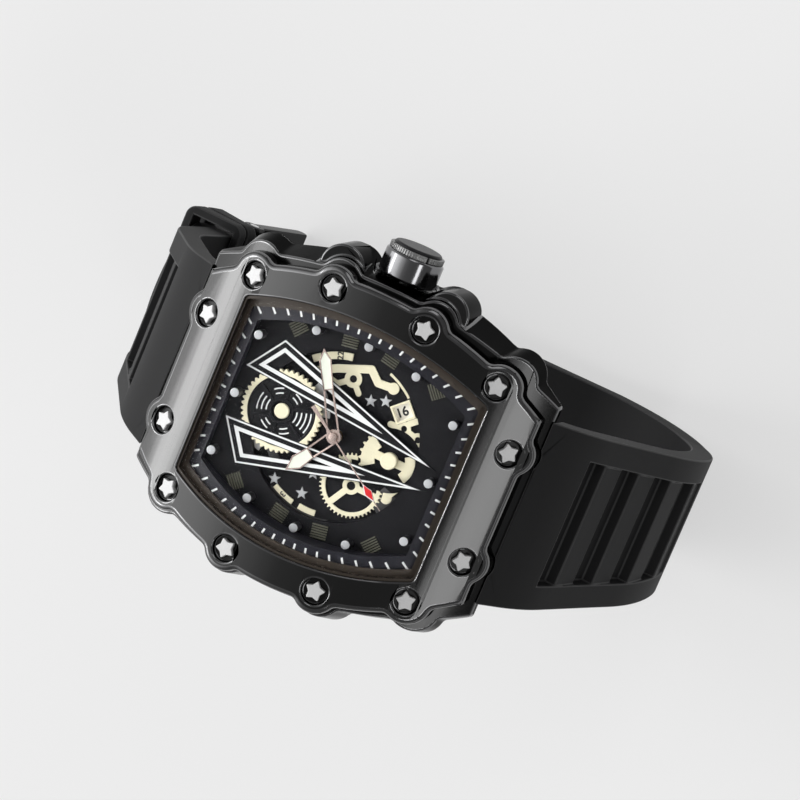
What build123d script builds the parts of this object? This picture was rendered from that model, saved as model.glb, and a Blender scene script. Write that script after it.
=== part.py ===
from build123d import *
import os
from math import asin, atan, atan2, cos, degrees, hypot, pi, radians, sin, sqrt

# Tonneau wristwatch, closed on its pin buckle and standing dial up on the flat run of its strap.
# The origin is on the dial's axis, on the surface it stands on. +Z is out of the dial, +Y points
# to 12 o'clock and +X to 3 o'clock and the crown. Lengths are millimetres. Depths are measured
# down from the highest line of the bezel.

# The whole watch
stand_height = 73.0  # highest line of the bezel above the surface
dome_radius = 50.0  # bezel, crystal and flange curve over the wrist on this radius
overrun = 4.0  # how far a cutter runs past what it cuts

# Bezel
bezel_half_width = 21.1
bezel_end_half_width = 13.3
bezel_half_length = 24.5
bezel_thickness = 3.0
bezel_chamfer = 0.45
lobe_radius = 3.1
lobe_blend = 1.2
opening_half_width = 16.45
opening_end_half_width = 12.6
opening_half_length = 17.9
opening_corner_radius = 0.8
screw_place_shares = ((0.895, 0.275), (0.737, 0.735), (0.372, 0.92))

# Bezel screws
screw_recess_radius = 1.83
screw_recess_depth = 0.9
screw_star_radius = 1.3
screw_star_waist_share = 0.62
screw_head_depth = 0.15
screw_shank_radius = 0.6
screw_length = 4.4
screw_first_turn = 25.0
screw_turn_step = 40.0

# Crystal and its ring
crystal_sink = 0.35
crystal_thickness = 1.2
ring_wall = 0.3
ring_lip_width = 1.15
ring_lip_thickness = 0.45

# Flange with the minute marks
flange_width = 2.5
flange_thickness = 0.7
flange_skirt = 0.5

# Middle case
case_depth = 12.0
rim_half_width = 23.4
rim_end_half_width = 15.4
rim_half_length = 25.6
rim_lobe_radius = 3.4
rim_lobe_count = 2  # how many of the screw places, from 3 o'clock round, the case swells round
guard_radius = 3.1
guard_place = (21.2, 7.7)
guard_depth = 4.6

# Case back
back_inset = 0.9
back_thickness = 1.4
back_chamfer = 0.4
back_boss_inset = 5.2
back_gasket_width = 0.8
back_gasket_depth = 0.6
back_screw_radius = 0.5
back_screw_head_radius = 1.0
back_screw_head_height = 0.6
back_screw_length = 3.4
back_screw_place_shares = ((0.85, 0.13), (0.70, 0.58), (0.0, 0.785))

# Crown
crown_depth = 9.0
crown_radius = 4.05
crown_length = 3.5
crown_place = 22.6
crown_wall = 1.0
crown_groove = 0.25
grip_length = 0.75
grip_radius = 3.7
grip_count = 4
grip_first_turn = 40.0
grip_gap = 0.35
cap_radius = 3.35
cap_height = 0.42
crown_clearance = 0.35
tube_radius = 1.25
tube_bore_radius = 0.68
tube_length = 3.2
seal_radius = 0.24
pull_travel = 1.6
stem_radius = 0.5
stem_square = 0.56
fit_clearance = 0.03

# Dial
dial_depth = 6.1
dial_thickness = 0.5
dial_aperture_radius = 11.55
base_depth = 7.1
base_thickness = 0.5
base_radius = 12.4
plot_radius = 0.62
plot_height = 2.1
plot_place_shares = ((0.0, 0.86), (0.55, 0.86), (0.80, 0.44), (0.862, 0.0))
mark_rim = 0.05
hatch_places = ((12.6, 3.0, 10), (11.3, 10.2, 50))
hatch_count = 4
hatch_pitch = 0.34
hatch_length = 1.8
hatch_height = 0.15

# Arrow bridges on the dial
arrow_corners = ((3.6, 15.0), (9.1, 11.2), (1.5, -14.3))
arrow_plate_thickness = 0.15
arrow_line_thickness = 0.05
arrow_margin = 0.1
arrow_line = 0.22
arrow_gap = 0.62
arrow_band = 0.5
arrow_wedge_y = -3.9

# Wheels and bridges that show in the dial's aperture
decor_thickness = 0.25
barrel_y = 8.05
barrel_outer_radius = 5.2
barrel_inner_radius = 4.45
barrel_teeth = 44
barrel_cover_radius = 4.3
barrel_cover_thickness = 0.45
barrel_hub_radius = 1.05
barrel_windows = 5
small_wheel_y = -7.9
small_wheel_radius = 4.3
small_wheel_rim = 2.2
small_wheel_lower_radius = 3.5
small_wheel_teeth = 26
small_wheel_sweep = 70.0
small_hub_radius = 1.15
hub_height = 1.0
large_wheel_place = (-5.3, -4.4)
large_wheel_radius = 4.4
large_wheel_rim = 0.85
large_wheel_teeth = 46
large_wheel_spokes = 3
tooth_depth = 0.32
lever_points = ((7.0, 5.7), (8.3, 3.4), (10.1, -0.9), (8.8, -2.4), (9.0, -4.6))
lever_width = 1.1
lever_boss_radius = 0.8
lattice_points = ((7.0, 5.7), (6.4, 2.7), (7.9, 0.9), (6.4, -0.5))
lattice_width = 0.8
lattice_boss_radius = 1.2
lattice_hole_radius = 0.5
fork_points = ((4.5, -6.1), (4.7, -8.0), (4.1, -10.3))
fork_prong_points = ((4.7, -7.8), (5.7, -8.5), (6.4, -9.3))
fork_width = 0.85
fork_boss_radius = 0.95
fork_hole_radius = 0.42
claw_width = 0.75
claw_points = ((-1.0, -11.0), (-3.0, -10.4), (-4.8, -9.4))
rim_bars = ((10.2, 11.2, 11, 30), (11.0, 11.4, -39, 21), (10.6, 11.3, 152, 17), (10.5, 11.3, 174, 13))
star_radius = 0.9
star_waist_share = 0.42
star_thickness = 0.2
star_places = ((7.0, -4.3), (6.2, -2.4), (-8.9, 5.6), (-9.1, 1.4), (-6.0, 1.0))

# Date
date_place_radius = 9.7
date_place_angle = -46.5
date_window_length = 2.3
date_window_width = 2.0
date_frame_line = 0.28
date_frame_thickness = 0.35
disc_depth = 7.72
disc_thickness = 0.15
disc_outer_radius = 11.6
disc_inner_radius = 8.4
disc_teeth = 31

# Hands
hour_hand_depth = 5.6
minute_hand_depth = 5.28
second_hand_depth = 4.98
hand_thickness = 0.15
second_thickness = 0.1
hour_angle = 147.5
minute_angle = 29.4
second_angle = -123.0
hour_length = 8.2
hour_body_start = 3.9
hour_width = 2.0
minute_length = 11.8
minute_body_start = 6.2
minute_width = 1.7
hand_line = 0.2
hand_hub_radius = 1.0
hand_leg = 0.24
second_length = 11.6
second_tail = 4.9
second_tail_width = 0.6
second_width = 0.24
second_hub_radius = 0.55
diamond_start = 7.3
diamond_length = 2.9
diamond_width = 1.15

# Arbors at the centre
seconds_arbor_radius = 0.16
cannon_bore_radius = 0.19
cannon_radius = 0.42
hour_bore_radius = 0.45
hour_tube_radius = 0.75
centre_hole_radius = 0.8

# Motion work, under the dial
motion_recess_radius = 3.5
motion_recess_floor = 8.45
cannon_pinion_radius = 0.8
cannon_pinion_teeth = 12
minute_wheel_radius = 2.4
minute_wheel_teeth = 36
minute_pinion_radius = 0.64
minute_pinion_teeth = 10
hour_wheel_radius = 2.56
hour_wheel_teeth = 40
motion_gap = 0.06
motion_tooth = 0.1
hour_wheel_depth = 7.7
minute_wheel_depth = 8.1
wheel_thickness = 0.2
post_radius = 0.2

# Date drive
driver_radius = 2.3
driver_teeth = 28
driver_angle = 125.0
driver_distance = 4.95

# Going train, under the main plate
plate_depth = 7.95
plate_thickness = 1.65
movement_radius = 12.1
centre_wheel_radius = 3.2
centre_wheel_depth = 9.75
third_pinion_radius = 0.4
third_wheel_radius = 3.15
third_wheel_depth = 10.15
third_angle = 200.0
seconds_pinion_radius = 0.42
seconds_wheel_radius = 2.9
seconds_wheel_depth = 10.55
middle_pinion_radius = 0.58
middle_wheel_radius = 2.4
middle_wheel_depth = 10.95
middle_angle = 100.0
rotor_pinion_radius = 0.4
rotor_angle = 150.0
rotor_radius = 0.75
rotor_length = 0.6
train_tooth = 0.12
train_gap = 0.06
pinion_teeth = 8
bridge_depth = 11.3
bridge_thickness = 0.4
bridge_half_width = 5.4
bridge_foot_radius = 1.0
bridge_foot_angles = (50.0, 160.0, 265.0)

# Electric parts
battery_radius = 3.4
battery_height = 1.6
battery_place = (4.3, -7.0)
clip_width = 1.6
clip_thickness = 0.25
coil_radius = 0.95
coil_length = 7.0
coil_place = (-7.0, 6.6)
coil_angle = 45.0
core_radius = 0.4
core_length = 9.2
stator_thickness = 0.3
stator_width = 2.6
circuit_thickness = 0.3
circuit_inner_radius = 8.3
circuit_outer_radius = 11.8
circuit_arc = 96.0
circuit_start = 165.0

# Movement holder
holder_clearance = 0.05
holder_depth = 7.1

# Strap
strap_reach = 42.6  # how far the loop comes out at 12 o'clock
six_reach = 41.5  # how far it comes out at 6 o'clock
strap_thickness = 3.4
tail_thickness = 2.8
corner_radius = 22.5
straight_length = 16.6
shoulder_radius = 28.0
shoulder_turn = 18.0
root_length = 6.0
root_sink = 1.82
root_depth = 8.07
short_flank_radius = 20.0
layer_gap = 0.25
strap_root_half_width = 13.65
strap_mid_half_width = 11.6
strap_low_half_width = 10.0
strap_mid_height = 38.0
strap_low_height = 12.0
tail_tip_height = 25.4
pad_half_width = 8.6  # the oval pad that the closed strap stands on
pad_half_length = 16.5
pad_height = 0.3
tail_tip_length = 7.0
tenon_half_width = 6.4
tenon_length = 3.8
tenon_reach = 0.45
tenon_clearance = 0.1
strap_screw_top = 10.2
strap_screw_radius = 0.5
strap_screw_head_radius = 0.95
strap_screw_head_height = 0.6
strap_screw_spread = 3.8

# Louvred panels in the strap
six_panel_start = 5.9
twelve_panel_start = 9.0
panel_rail = 3.6
louvre_pitch = 8.9
louvre_count = 4
louvre_depth = 1.6
louvre_fall = 0.5
louvre_groove_share = 0.44
louvre_wall_share = 0.04

# Adjustment holes in the long strap
hole_length = 5.2
hole_width = 2.5
hole_pitch = 7.5
hole_count = 6

# Buckle
buckle_bar_angle = 59.0
buckle_cross_angle = 28.5
bar_radius = 0.75
eyelet_radius = 1.7
cross_radius = 1.1
cross_gap = 0.25
arm_width = 1.9
arm_gap = 0.3
arm_half_height = 1.6
tongue_width = 1.8
tongue_thickness = 1.0
tongue_clearance = 0.25
tongue_notch = 0.9
tongue_ring_radius = 1.55
tongue_rise_turn = 11.0
tongue_hole_shift = 0.8
eyelet_gap_width = 2.6

# Keepers
keeper_half_width = 11.1
keeper_wall = 1.3
keeper_round = 1.6
keeper_gap = 0.15
keeper_sweep = 7.6
fixed_keeper_angle = 66.0
sliding_keeper_angle = 76.6

# Worked out from the sizes above
dome_axis_z = stand_height - dome_radius
crown_z = stand_height - crown_depth
motion_distance = minute_wheel_radius + cannon_pinion_radius + motion_gap
third_distance = centre_wheel_radius + third_pinion_radius + train_gap
middle_distance = seconds_wheel_radius + middle_pinion_radius + train_gap
rotor_distance = middle_wheel_radius + rotor_pinion_radius + train_gap
corner_y = strap_reach - corner_radius
six_corner_y = six_reach - corner_radius
short_reach = strap_reach - tail_thickness - layer_gap
short_corner_radius = short_reach - corner_y
back_face = stand_height - case_depth - back_thickness


def level(depth):
    return stand_height - depth


def dome(depth):
    """Everything under the watch's curved skin, that far below the top of the bezel."""
    radius = dome_radius - depth
    length = 4 * rim_half_width
    return Pos(0, 0, dome_axis_z) * Rot(0, 90, 0) * Cylinder(radius, length)


def barrel(half_width, end_half_width, half_length, corner=0):
    """The tonneau outline: bulging sides and straight ends."""
    sides = [
        ThreePointArc((end_half_width, -half_length), (half_width, 0), (end_half_width, half_length)),
        Line((end_half_width, half_length), (-end_half_width, half_length)),
        ThreePointArc((-end_half_width, half_length), (-half_width, 0), (-end_half_width, -half_length)),
        Line((-end_half_width, -half_length), (end_half_width, -half_length)),
    ]
    outline = make_face(sides)
    if corner:
        outline = fillet(outline.vertices(), corner)
    return outline


def opening(inset=0):
    """The bezel's opening, drawn in by inset."""
    corner = max(opening_corner_radius - inset, opening_corner_radius / 2)
    return barrel(
        opening_half_width - inset,
        opening_end_half_width - inset,
        opening_half_length - inset,
        corner,
    )


def four_ways(x, y):
    return [(x * a, y * b) for a in (1, -1) for b in (1, -1) if (x or a > 0) and (y or b > 0)]


def lobed(half_width, end_half_width, half_length, lobe, places=screw_place_shares):
    """The tonneau outline with a round lobe at each screw place, blended in."""
    outline = barrel(half_width, end_half_width, half_length)
    for share_x, share_y in places:
        for x, y in four_ways(share_x * half_width, share_y * half_length):
            outline += Pos(x, y) * Circle(lobe)
    outline = offset(outline, lobe_blend, kind=Kind.ARC)
    return offset(outline, -lobe_blend, kind=Kind.ARC)


def prism(outline, low, high):
    """An outline in plan, standing from one height to another."""
    return extrude(Pos(0, 0, low) * outline, high - low, dir=(0, 0, 1))


def disc(x, y, radius, top, height):
    return prism(Pos(x, y) * Circle(radius), top - height, top)


def toothed(radius, teeth, depth):
    """A wheel's outline with plain tapered teeth out to its radius."""
    step = 2 * pi / teeth
    points = []
    for i in range(teeth):
        for share, reach in ((0.0, 0), (0.5, 0), (0.65, 1), (0.85, 1)):
            angle = (i + share) * step
            r = radius - depth + depth * reach
            points.append((r * cos(angle), r * sin(angle)))
    return Polygon(*points, align=None)


def star(radius, waist_share, turn=0):
    """A five-pointed star with one point at the turn given."""
    points = []
    for i in range(10):
        angle = radians(turn + 36 * i)
        r = radius * (waist_share if i % 2 else 1)
        points.append((r * cos(angle), r * sin(angle)))
    return Polygon(*points, align=None)


def polar(distance, angle):
    return distance * cos(radians(angle)), distance * sin(radians(angle))


def save(node, *solids):
    """Write one node's solids to its own file."""
    shapes = [solid for shape in solids for solid in shape.solids()]
    export_step(Compound(children=shapes) if len(shapes) > 1 else shapes[0], f"parts/{node}.step")


# Case


def bezel_screw_frames():
    """Where each bezel screw stands, square to the curved top."""
    frames = []
    for share_x, share_y in screw_place_shares:
        for x, y in four_ways(share_x * bezel_half_width, share_y * bezel_half_length):
            tilt = -degrees(asin(y / dome_radius))
            frames.append(Pos(x, 0, dome_axis_z) * Rot(tilt, 0, 0) * Pos(0, 0, dome_radius))
    return frames


def bezel_outline():
    return lobed(bezel_half_width, bezel_end_half_width, bezel_half_length, lobe_radius)


def make_bezel():
    low = level(case_depth)
    body = prism(bezel_outline(), low, stand_height + overrun) & dome(0)
    outer = body.edges().filter_by(lambda e: e.center().Z > level(bezel_thickness * 3))
    outer = [e for e in outer if abs(e.center().Z - dome_height(e.center().Y)) < fit_clearance]
    body = chamfer(outer, bezel_chamfer)
    body -= dome(bezel_thickness)
    body -= prism(opening(), low, stand_height + overrun)
    for frame in bezel_screw_frames():
        recess = Pos(0, 0, overrun - screw_recess_depth) * Cylinder(screw_recess_radius, 2 * overrun)
        hole = Cylinder(screw_shank_radius, 2 * overrun)
        body -= frame * recess
        body -= frame * hole
    return body


def dome_height(y):
    return dome_axis_z + sqrt(dome_radius**2 - y**2)


def make_bezel_screws():
    screws = []
    for i, frame in enumerate(bezel_screw_frames()):
        head = star(screw_star_radius, screw_star_waist_share, screw_first_turn + screw_turn_step * i)
        head = fillet(head.vertices(), screw_star_radius / 12)
        low = -screw_recess_depth
        screw = prism(head, low, -screw_head_depth)
        screw += Pos(0, 0, -screw_length / 2 - screw_recess_depth / 2) * Cylinder(
            screw_shank_radius, screw_length - screw_recess_depth
        )
        screws.append(frame * screw)
    return screws


def make_crystal():
    pane = prism(opening(ring_wall), level(case_depth), stand_height)
    return (pane & dome(crystal_sink)) - dome(crystal_sink + crystal_thickness)


def make_crystal_ring():
    under = crystal_sink + crystal_thickness
    ring = prism(opening(), level(case_depth), stand_height) & dome(crystal_sink)
    ring -= dome(under + ring_lip_thickness)
    ring -= prism(opening(ring_lip_width), level(case_depth), stand_height)
    seat = prism(opening(ring_wall), level(case_depth), stand_height) - dome(under)
    return ring - seat


def make_flange():
    top = crystal_sink + crystal_thickness + ring_lip_thickness
    inner = prism(opening(flange_width), level(case_depth), stand_height)
    shelf = prism(opening(), level(case_depth), stand_height) & dome(top)
    shelf -= dome(top + flange_thickness)
    skirt = prism(opening(flange_width - flange_skirt), level(dial_depth), stand_height) & dome(top)
    return shelf + skirt - inner


def rim_outline():
    places = screw_place_shares[:rim_lobe_count]
    return lobed(rim_half_width, rim_end_half_width, rim_half_length, rim_lobe_radius, places)


def case_skin():
    """The flare down to the case's rim, with straight ends against the strap."""
    places = screw_place_shares[:rim_lobe_count]
    top = lobed(bezel_half_width, bezel_end_half_width, bezel_half_length, lobe_radius, places).face()
    rim = rim_outline().face()
    return loft([Pos(0, 0, stand_height) * top, Pos(0, 0, level(case_depth)) * rim], ruled=True)


def case_envelope():
    """The case's outer shape under the bezel, with the two guards beside the crown."""
    body = case_skin()
    for y in (guard_place[1], -guard_place[1]):
        body += disc(guard_place[0], y, guard_radius, level(guard_depth), case_depth - guard_depth)
    return body & dome(bezel_thickness)


def strap_keep_out():
    """Everything the strap stops short of: bezel, case and case back."""
    lobes = offset(bezel_outline(), tenon_clearance, kind=Kind.ARC)
    keep = case_skin() + prism(rim_outline(), back_face - overrun, level(case_depth))
    return keep + prism(lobes, level(case_depth), stand_height)


def cavity():
    return opening()


def tenon(side):
    """The strap's root block, held between the bezel and the case back."""
    length = tenon_length + tenon_reach
    outline = Pos(0, side * (rim_half_length - tenon_length + length / 2)) * Rectangle(2 * tenon_half_width, length)
    block = prism(outline, level(case_depth), stand_height) & dome(bezel_thickness + tenon_clearance)
    for x, y in strap_screw_places():
        block -= disc(x, y, strap_screw_radius, level(strap_screw_top), case_depth)
    return block


def tenon_pocket(side):
    """The notch in the end of the case that the strap's root block stands in."""
    width = 2 * tenon_half_width + 2 * tenon_clearance
    inner = rim_half_length - tenon_length - tenon_clearance
    outline = Pos(0, side * (inner + overrun)) * Rectangle(width, 2 * overrun)
    return prism(outline, level(case_depth + overrun), stand_height)


def strap_screw_places():
    y = rim_half_length - tenon_length / 2
    return [(x, side * y) for side in (1, -1) for x in (strap_screw_spread, -strap_screw_spread)]


def back_screw_places():
    places = []
    for share_x, share_y in back_screw_place_shares:
        places += four_ways(share_x * rim_half_width, share_y * rim_half_length)
    return places


def crown_cylinder(radius, start, length):
    """A cylinder on the crown's axis."""
    return Pos(start + length / 2, 0, crown_z) * Rot(0, 90, 0) * Cylinder(radius, length)


def make_case_middle(envelope):
    body = envelope - prism(cavity(), level(case_depth + overrun), stand_height)
    body -= crown_cylinder(crown_radius + crown_clearance, crown_place - crown_clearance, overrun)
    body -= crown_cylinder(tube_radius, 0, crown_place + overrun)
    for side in (1, -1):
        body -= tenon_pocket(side)
    for frame in bezel_screw_frames():
        body -= frame * Pos(0, 0, -screw_length / 2) * Cylinder(screw_shank_radius, screw_length)
    for x, y in back_screw_places():
        body -= disc(x, y, back_screw_radius, level(case_depth) + back_screw_length, back_screw_length)
    outer = prism(opening(-back_gasket_width), level(case_depth), level(case_depth) + back_gasket_depth)
    return body - outer


def make_back_gasket():
    high = level(case_depth) + back_gasket_depth
    return prism(opening(-back_gasket_width) - opening(), level(case_depth), high)


def make_case_back():
    outline = barrel(
        rim_half_width - back_inset,
        rim_end_half_width - back_inset,
        rim_half_length - back_inset,
        rim_lobe_radius,
    )
    plate = prism(outline, back_face, level(case_depth))
    plate = chamfer(plate.faces().sort_by(Axis.Z)[0].edges(), back_chamfer)
    boss = prism(opening(back_boss_inset), back_face - back_chamfer / 2, back_face)
    plate += boss
    for x, y in back_screw_places():
        plate -= disc(x, y, back_screw_radius, level(case_depth), back_thickness)
        plate -= disc(x, y, back_screw_head_radius, back_face + back_screw_head_height, 2 * back_thickness)
    for x, y in strap_screw_places():
        plate -= disc(x, y, strap_screw_head_radius, level(case_depth), 2 * back_thickness)
    return plate


def headed_screw(x, y, radius, head_radius, head_height, base, top):
    screw = disc(x, y, head_radius, base + head_height, head_height)
    slot = Pos(x, y, base) * Box(2 * head_radius, head_height / 2, head_height)
    screw += disc(x, y, radius, top, top - base)
    return screw - slot


def make_back_screws():
    return [
        headed_screw(
            x,
            y,
            back_screw_radius,
            back_screw_head_radius,
            back_screw_head_height,
            back_face,
            level(case_depth) + back_screw_length,
        )
        for x, y in back_screw_places()
    ]


def make_strap_screws():
    base = level(case_depth) - strap_screw_head_height
    return [
        headed_screw(
            x,
            y,
            strap_screw_radius,
            strap_screw_head_radius,
            strap_screw_head_height,
            base,
            level(strap_screw_top),
        )
        for x, y in strap_screw_places()
    ]


# Crown


def make_crown():
    barrel_end = crown_place + crown_length
    body = crown_cylinder(crown_radius, crown_place, crown_length)
    rims = body.edges().filter_by(GeomType.CIRCLE)
    body = chamfer(rims, crown_groove)
    body += crown_cylinder(cap_radius, barrel_end, grip_length)
    hollow = crown_radius - crown_wall
    body -= crown_cylinder(hollow, crown_place - overrun, overrun + crown_length - crown_wall)
    body += crown_cylinder(tube_bore_radius - fit_clearance, crown_place, crown_length - crown_wall / 2)
    return body - crown_cylinder(stem_radius, crown_place - overrun, overrun + crown_length - crown_wall)


def make_grip_ring():
    start = crown_place + crown_length
    ring = crown_cylinder(grip_radius, start, grip_length) - crown_cylinder(cap_radius, start, grip_length)
    for i in range(grip_count // 2):
        turn = grip_first_turn + 180 / (grip_count // 2) * i
        gap = Pos(start + grip_length / 2, 0, crown_z) * Rot(turn, 0, 0)
        ring -= gap * Box(2 * grip_length, grip_gap, 4 * grip_radius)
    return ring


def make_crown_cap():
    start = crown_place + crown_length + grip_length
    cap = crown_cylinder(cap_radius, start, cap_height)
    return fillet(cap.faces().sort_by(Axis.X)[-1].edges(), cap_height * 0.9)


def make_crown_tube():
    start = opening_half_width + holder_clearance
    length = crown_place + crown_length - crown_wall - pull_travel / 2 - start
    return crown_cylinder(tube_radius, start, length) - crown_cylinder(tube_bore_radius, start, length)


def make_crown_seal():
    x = crown_place + crown_wall
    major = tube_radius + seal_radius + fit_clearance
    return Pos(x, 0, crown_z) * Rot(0, 90, 0) * Torus(major, seal_radius)


def stem_square_ends():
    """The stem's square reaches past the pinion by more than the crown pulls out."""
    start, end = setting_window()
    return start - pull_travel - 2 * motion_gap, end + pull_travel / 2


def make_stem():
    end = crown_place + crown_length - crown_wall
    start, square_end = stem_square_ends()
    stem = crown_cylinder(stem_radius, square_end, end - square_end)
    square = Box(square_end - start, stem_square, stem_square)
    return stem + Pos((start + square_end) / 2, 0, crown_z) * square


# Dial


def aperture():
    return Circle(dial_aperture_radius)


def inside_aperture():
    return Circle(dial_aperture_radius - motion_gap)


def make_dial_plate():
    outline = opening(ring_lip_width) - aperture()
    plate = prism(outline, level(dial_depth + dial_thickness), level(dial_depth))
    for x, y, turn in hatch_places:
        for a, b in ((1, 1), (1, -1), (-1, 1), (-1, -1)):
            for i in range(hatch_count):
                shift = (i - (hatch_count - 1) / 2) * hatch_pitch
                frame = Pos(a * x, b * y) * Rot(0, 0, a * b * turn) * Pos(shift, 0)
                bar = frame * Rectangle(hatch_pitch / 2, hatch_length)
                plate += prism(bar, level(dial_depth), level(dial_depth) + hatch_height)
    return plate


def make_dial_base():
    low = level(base_depth + base_thickness)
    plate = prism(Circle(base_radius), low, level(base_depth))
    rim = Circle(base_radius) - aperture()
    plate += prism(rim, low, level(dial_depth + dial_thickness))
    plate -= disc(0, 0, centre_hole_radius, level(base_depth), base_thickness)
    window = Rectangle(date_window_length, date_window_width)
    return plate - prism(date_frame() * window, low, level(base_depth))


def date_frame():
    x, y = polar(date_place_radius, date_place_angle)
    return Pos(x, y) * Rot(0, 0, date_place_angle)


def make_hour_plots():
    plots = []
    for share_x, share_y in plot_place_shares:
        places = four_ways(
            share_x * (opening_half_width - ring_lip_width),
            share_y * (opening_half_length - ring_lip_width),
        )
        plots += [disc(x, y, plot_radius, level(dial_depth) + plot_height, plot_height) for x, y in places]
    return plots


def arrow_outline(inset, side):
    """One arrow's outline, drawn in by inset. Side is 1 at 3 o'clock and -1 at 9."""
    outline = Polygon(*arrow_corners, align=None)
    if inset:
        outline = offset(outline, -inset, kind=Kind.INTERSECTION)
    return outline if side > 0 else mirror(outline, about=Plane.YZ)


def arrow_open(inset, side):
    """The arrow's window, above its filled point."""
    reach = opening_half_length
    half = Pos(0, arrow_wedge_y + reach) * Rectangle(2 * reach, 2 * reach)
    return arrow_outline(inset, side) & half


def arrow_insets():
    first = arrow_margin
    second = first + arrow_line
    third = second + arrow_gap
    return first, second, third, third + arrow_band


def make_arrow_plates():
    window_inset = arrow_insets()[3] + arrow_margin
    high = level(dial_depth) + arrow_plate_thickness
    plates = [arrow_outline(0, side) - arrow_open(window_inset, side) for side in (1, -1)]
    return [prism(plate, level(dial_depth), high) for plate in plates]


def make_arrow_lines():
    first, second, third, fourth = arrow_insets()
    low = level(dial_depth) + arrow_plate_thickness
    high = low + arrow_line_thickness
    lines = []
    for side in (1, -1):
        lines.append(prism(arrow_outline(first, side) - arrow_outline(second, side), low, high))
        lines.append(prism(arrow_outline(third, side) - arrow_open(fourth, side), low, high))
    return lines


def make_barrel_ring():
    ring = toothed(barrel_outer_radius, barrel_teeth, tooth_depth) - Circle(barrel_inner_radius)
    ring = Pos(0, barrel_y) * ring & inside_aperture()
    return prism(ring, level(base_depth), level(base_depth) + decor_thickness)


def make_barrel_cover():
    cover = Circle(barrel_cover_radius)
    inner = barrel_hub_radius * 1.5
    rims = [inner + (barrel_cover_radius - inner) * share for share in (0.12, 0.38, 0.62, 0.86)]
    sector = 360 / barrel_windows
    for i in range(barrel_windows):
        for low, high in ((rims[0], rims[1]), (rims[2], rims[3])):
            start = sector * i + sector / 6
            cover -= arc_slot(low, high, start, sector * 2 / 3)
    high = level(base_depth) + barrel_cover_thickness
    return prism(Pos(0, barrel_y) * cover & inside_aperture(), level(base_depth), high)


def arc_slot(inner, outer, start, sweep):
    """A slot between two radii, from one angle through a sweep."""
    edges = [
        CenterArc((0, 0), outer, start, sweep),
        Line(polar(outer, start + sweep), polar(inner, start + sweep)),
        CenterArc((0, 0), inner, start, sweep),
        Line(polar(inner, start), polar(outer, start)),
    ]
    return make_face(edges)


def make_dial_hubs():
    low = level(base_depth)
    barrel_low = low + barrel_cover_thickness
    hubs = [
        prism(Pos(0, barrel_y) * Circle(barrel_hub_radius), barrel_low, low + hub_height),
        prism(Pos(0, small_wheel_y) * Circle(small_hub_radius), low, low + hub_height),
    ]
    return [chamfer(hub.faces().sort_by(Axis.Z)[-1].edges(), decor_thickness / 2) for hub in hubs]


def small_wheel_outline(gap=0):
    """What is left of the small wheel above and below its hub."""
    inner = small_wheel_radius - small_wheel_rim - gap
    pieces = None
    for start, reach in (
        (90 - small_wheel_sweep / 2, small_wheel_radius),
        (270 - small_wheel_sweep / 2, small_wheel_lower_radius),
    ):
        sector = arc_slot(inner, reach + gap, start, small_wheel_sweep)
        pieces = sector if pieces is None else pieces + sector
    return pieces


def make_small_wheel():
    """The broken wheel under the lower hub, standing on its own thin web."""
    ring = toothed(small_wheel_radius, small_wheel_teeth, tooth_depth) & small_wheel_outline()
    ring += Rectangle(small_hub_radius, 2 * small_wheel_radius) & Circle(small_wheel_lower_radius)
    ring -= Circle(small_hub_radius)
    ring = Pos(0, small_wheel_y) * ring & inside_aperture()
    return prism(ring, level(base_depth), level(base_depth) + decor_thickness)


def make_large_wheel():
    inner = large_wheel_radius - large_wheel_rim
    wheel = toothed(large_wheel_radius, large_wheel_teeth, tooth_depth) - Circle(inner)
    wheel += Circle(inner / 3)
    spoke = Pos(inner * 0.6, 0) * Rectangle(inner, large_wheel_rim)
    for i in range(large_wheel_spokes):
        wheel += Rot(0, 0, 360 / large_wheel_spokes * i + 30) * spoke
    wheel -= Circle(inner / 6)
    wheel = Pos(*large_wheel_place) * wheel
    keep = Pos(0, small_wheel_y) * Circle(small_wheel_radius + train_gap)
    wheel = (wheel - keep) & inside_aperture()
    return prism(wheel, level(base_depth), level(base_depth) + decor_thickness)


def band(points, width):
    """A flat strip of even width through points, with round ends and joints."""
    strip = Pos(*points[0]) * Circle(width / 2)
    for (x1, y1), (x2, y2) in zip(points, points[1:]):
        length = hypot(x2 - x1, y2 - y1)
        bar = Rot(0, 0, degrees(atan2(y2 - y1, x2 - x1))) * Rectangle(length, width)
        strip += Pos((x1 + x2) / 2, (y1 + y2) / 2) * bar
        strip += Pos(x2, y2) * Circle(width / 2)
    return strip


def make_skeleton_bridges():
    low = level(base_depth)
    keep = Pos(0, small_wheel_y) * Circle(small_wheel_radius + train_gap)
    keep += Pos(*large_wheel_place) * Circle(large_wheel_radius + train_gap)
    keep += Pos(0, barrel_y) * Circle(barrel_outer_radius + train_gap)
    keep += date_frame() * Rectangle(
        date_window_length + 2 * date_frame_line + train_gap,
        date_window_width + 2 * date_frame_line + train_gap,
    )
    lever = band(lever_points, lever_width) + Pos(*lever_points[-1]) * Circle(lever_boss_radius)
    lever += band(lattice_points, lattice_width) + Pos(*lattice_points[2]) * Circle(lattice_boss_radius)
    lever -= Pos(*lattice_points[2]) * Circle(lattice_hole_radius)
    fork = band(fork_points, fork_width) + band(fork_prong_points, fork_width)
    for place in (fork_points[1], fork_points[2]):
        fork += Pos(*place) * Circle(fork_boss_radius)
        fork -= Pos(*place) * Circle(fork_hole_radius)
    claw = band(claw_points, claw_width) + Pos(*claw_points[-1]) * Circle(lever_boss_radius)
    pieces = [lever, fork, claw]
    pieces += [arc_slot(*bar) for bar in rim_bars]
    pieces = [(piece - keep) & inside_aperture() for piece in pieces]
    return [prism(piece, low, low + decor_thickness) for piece in pieces]


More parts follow.
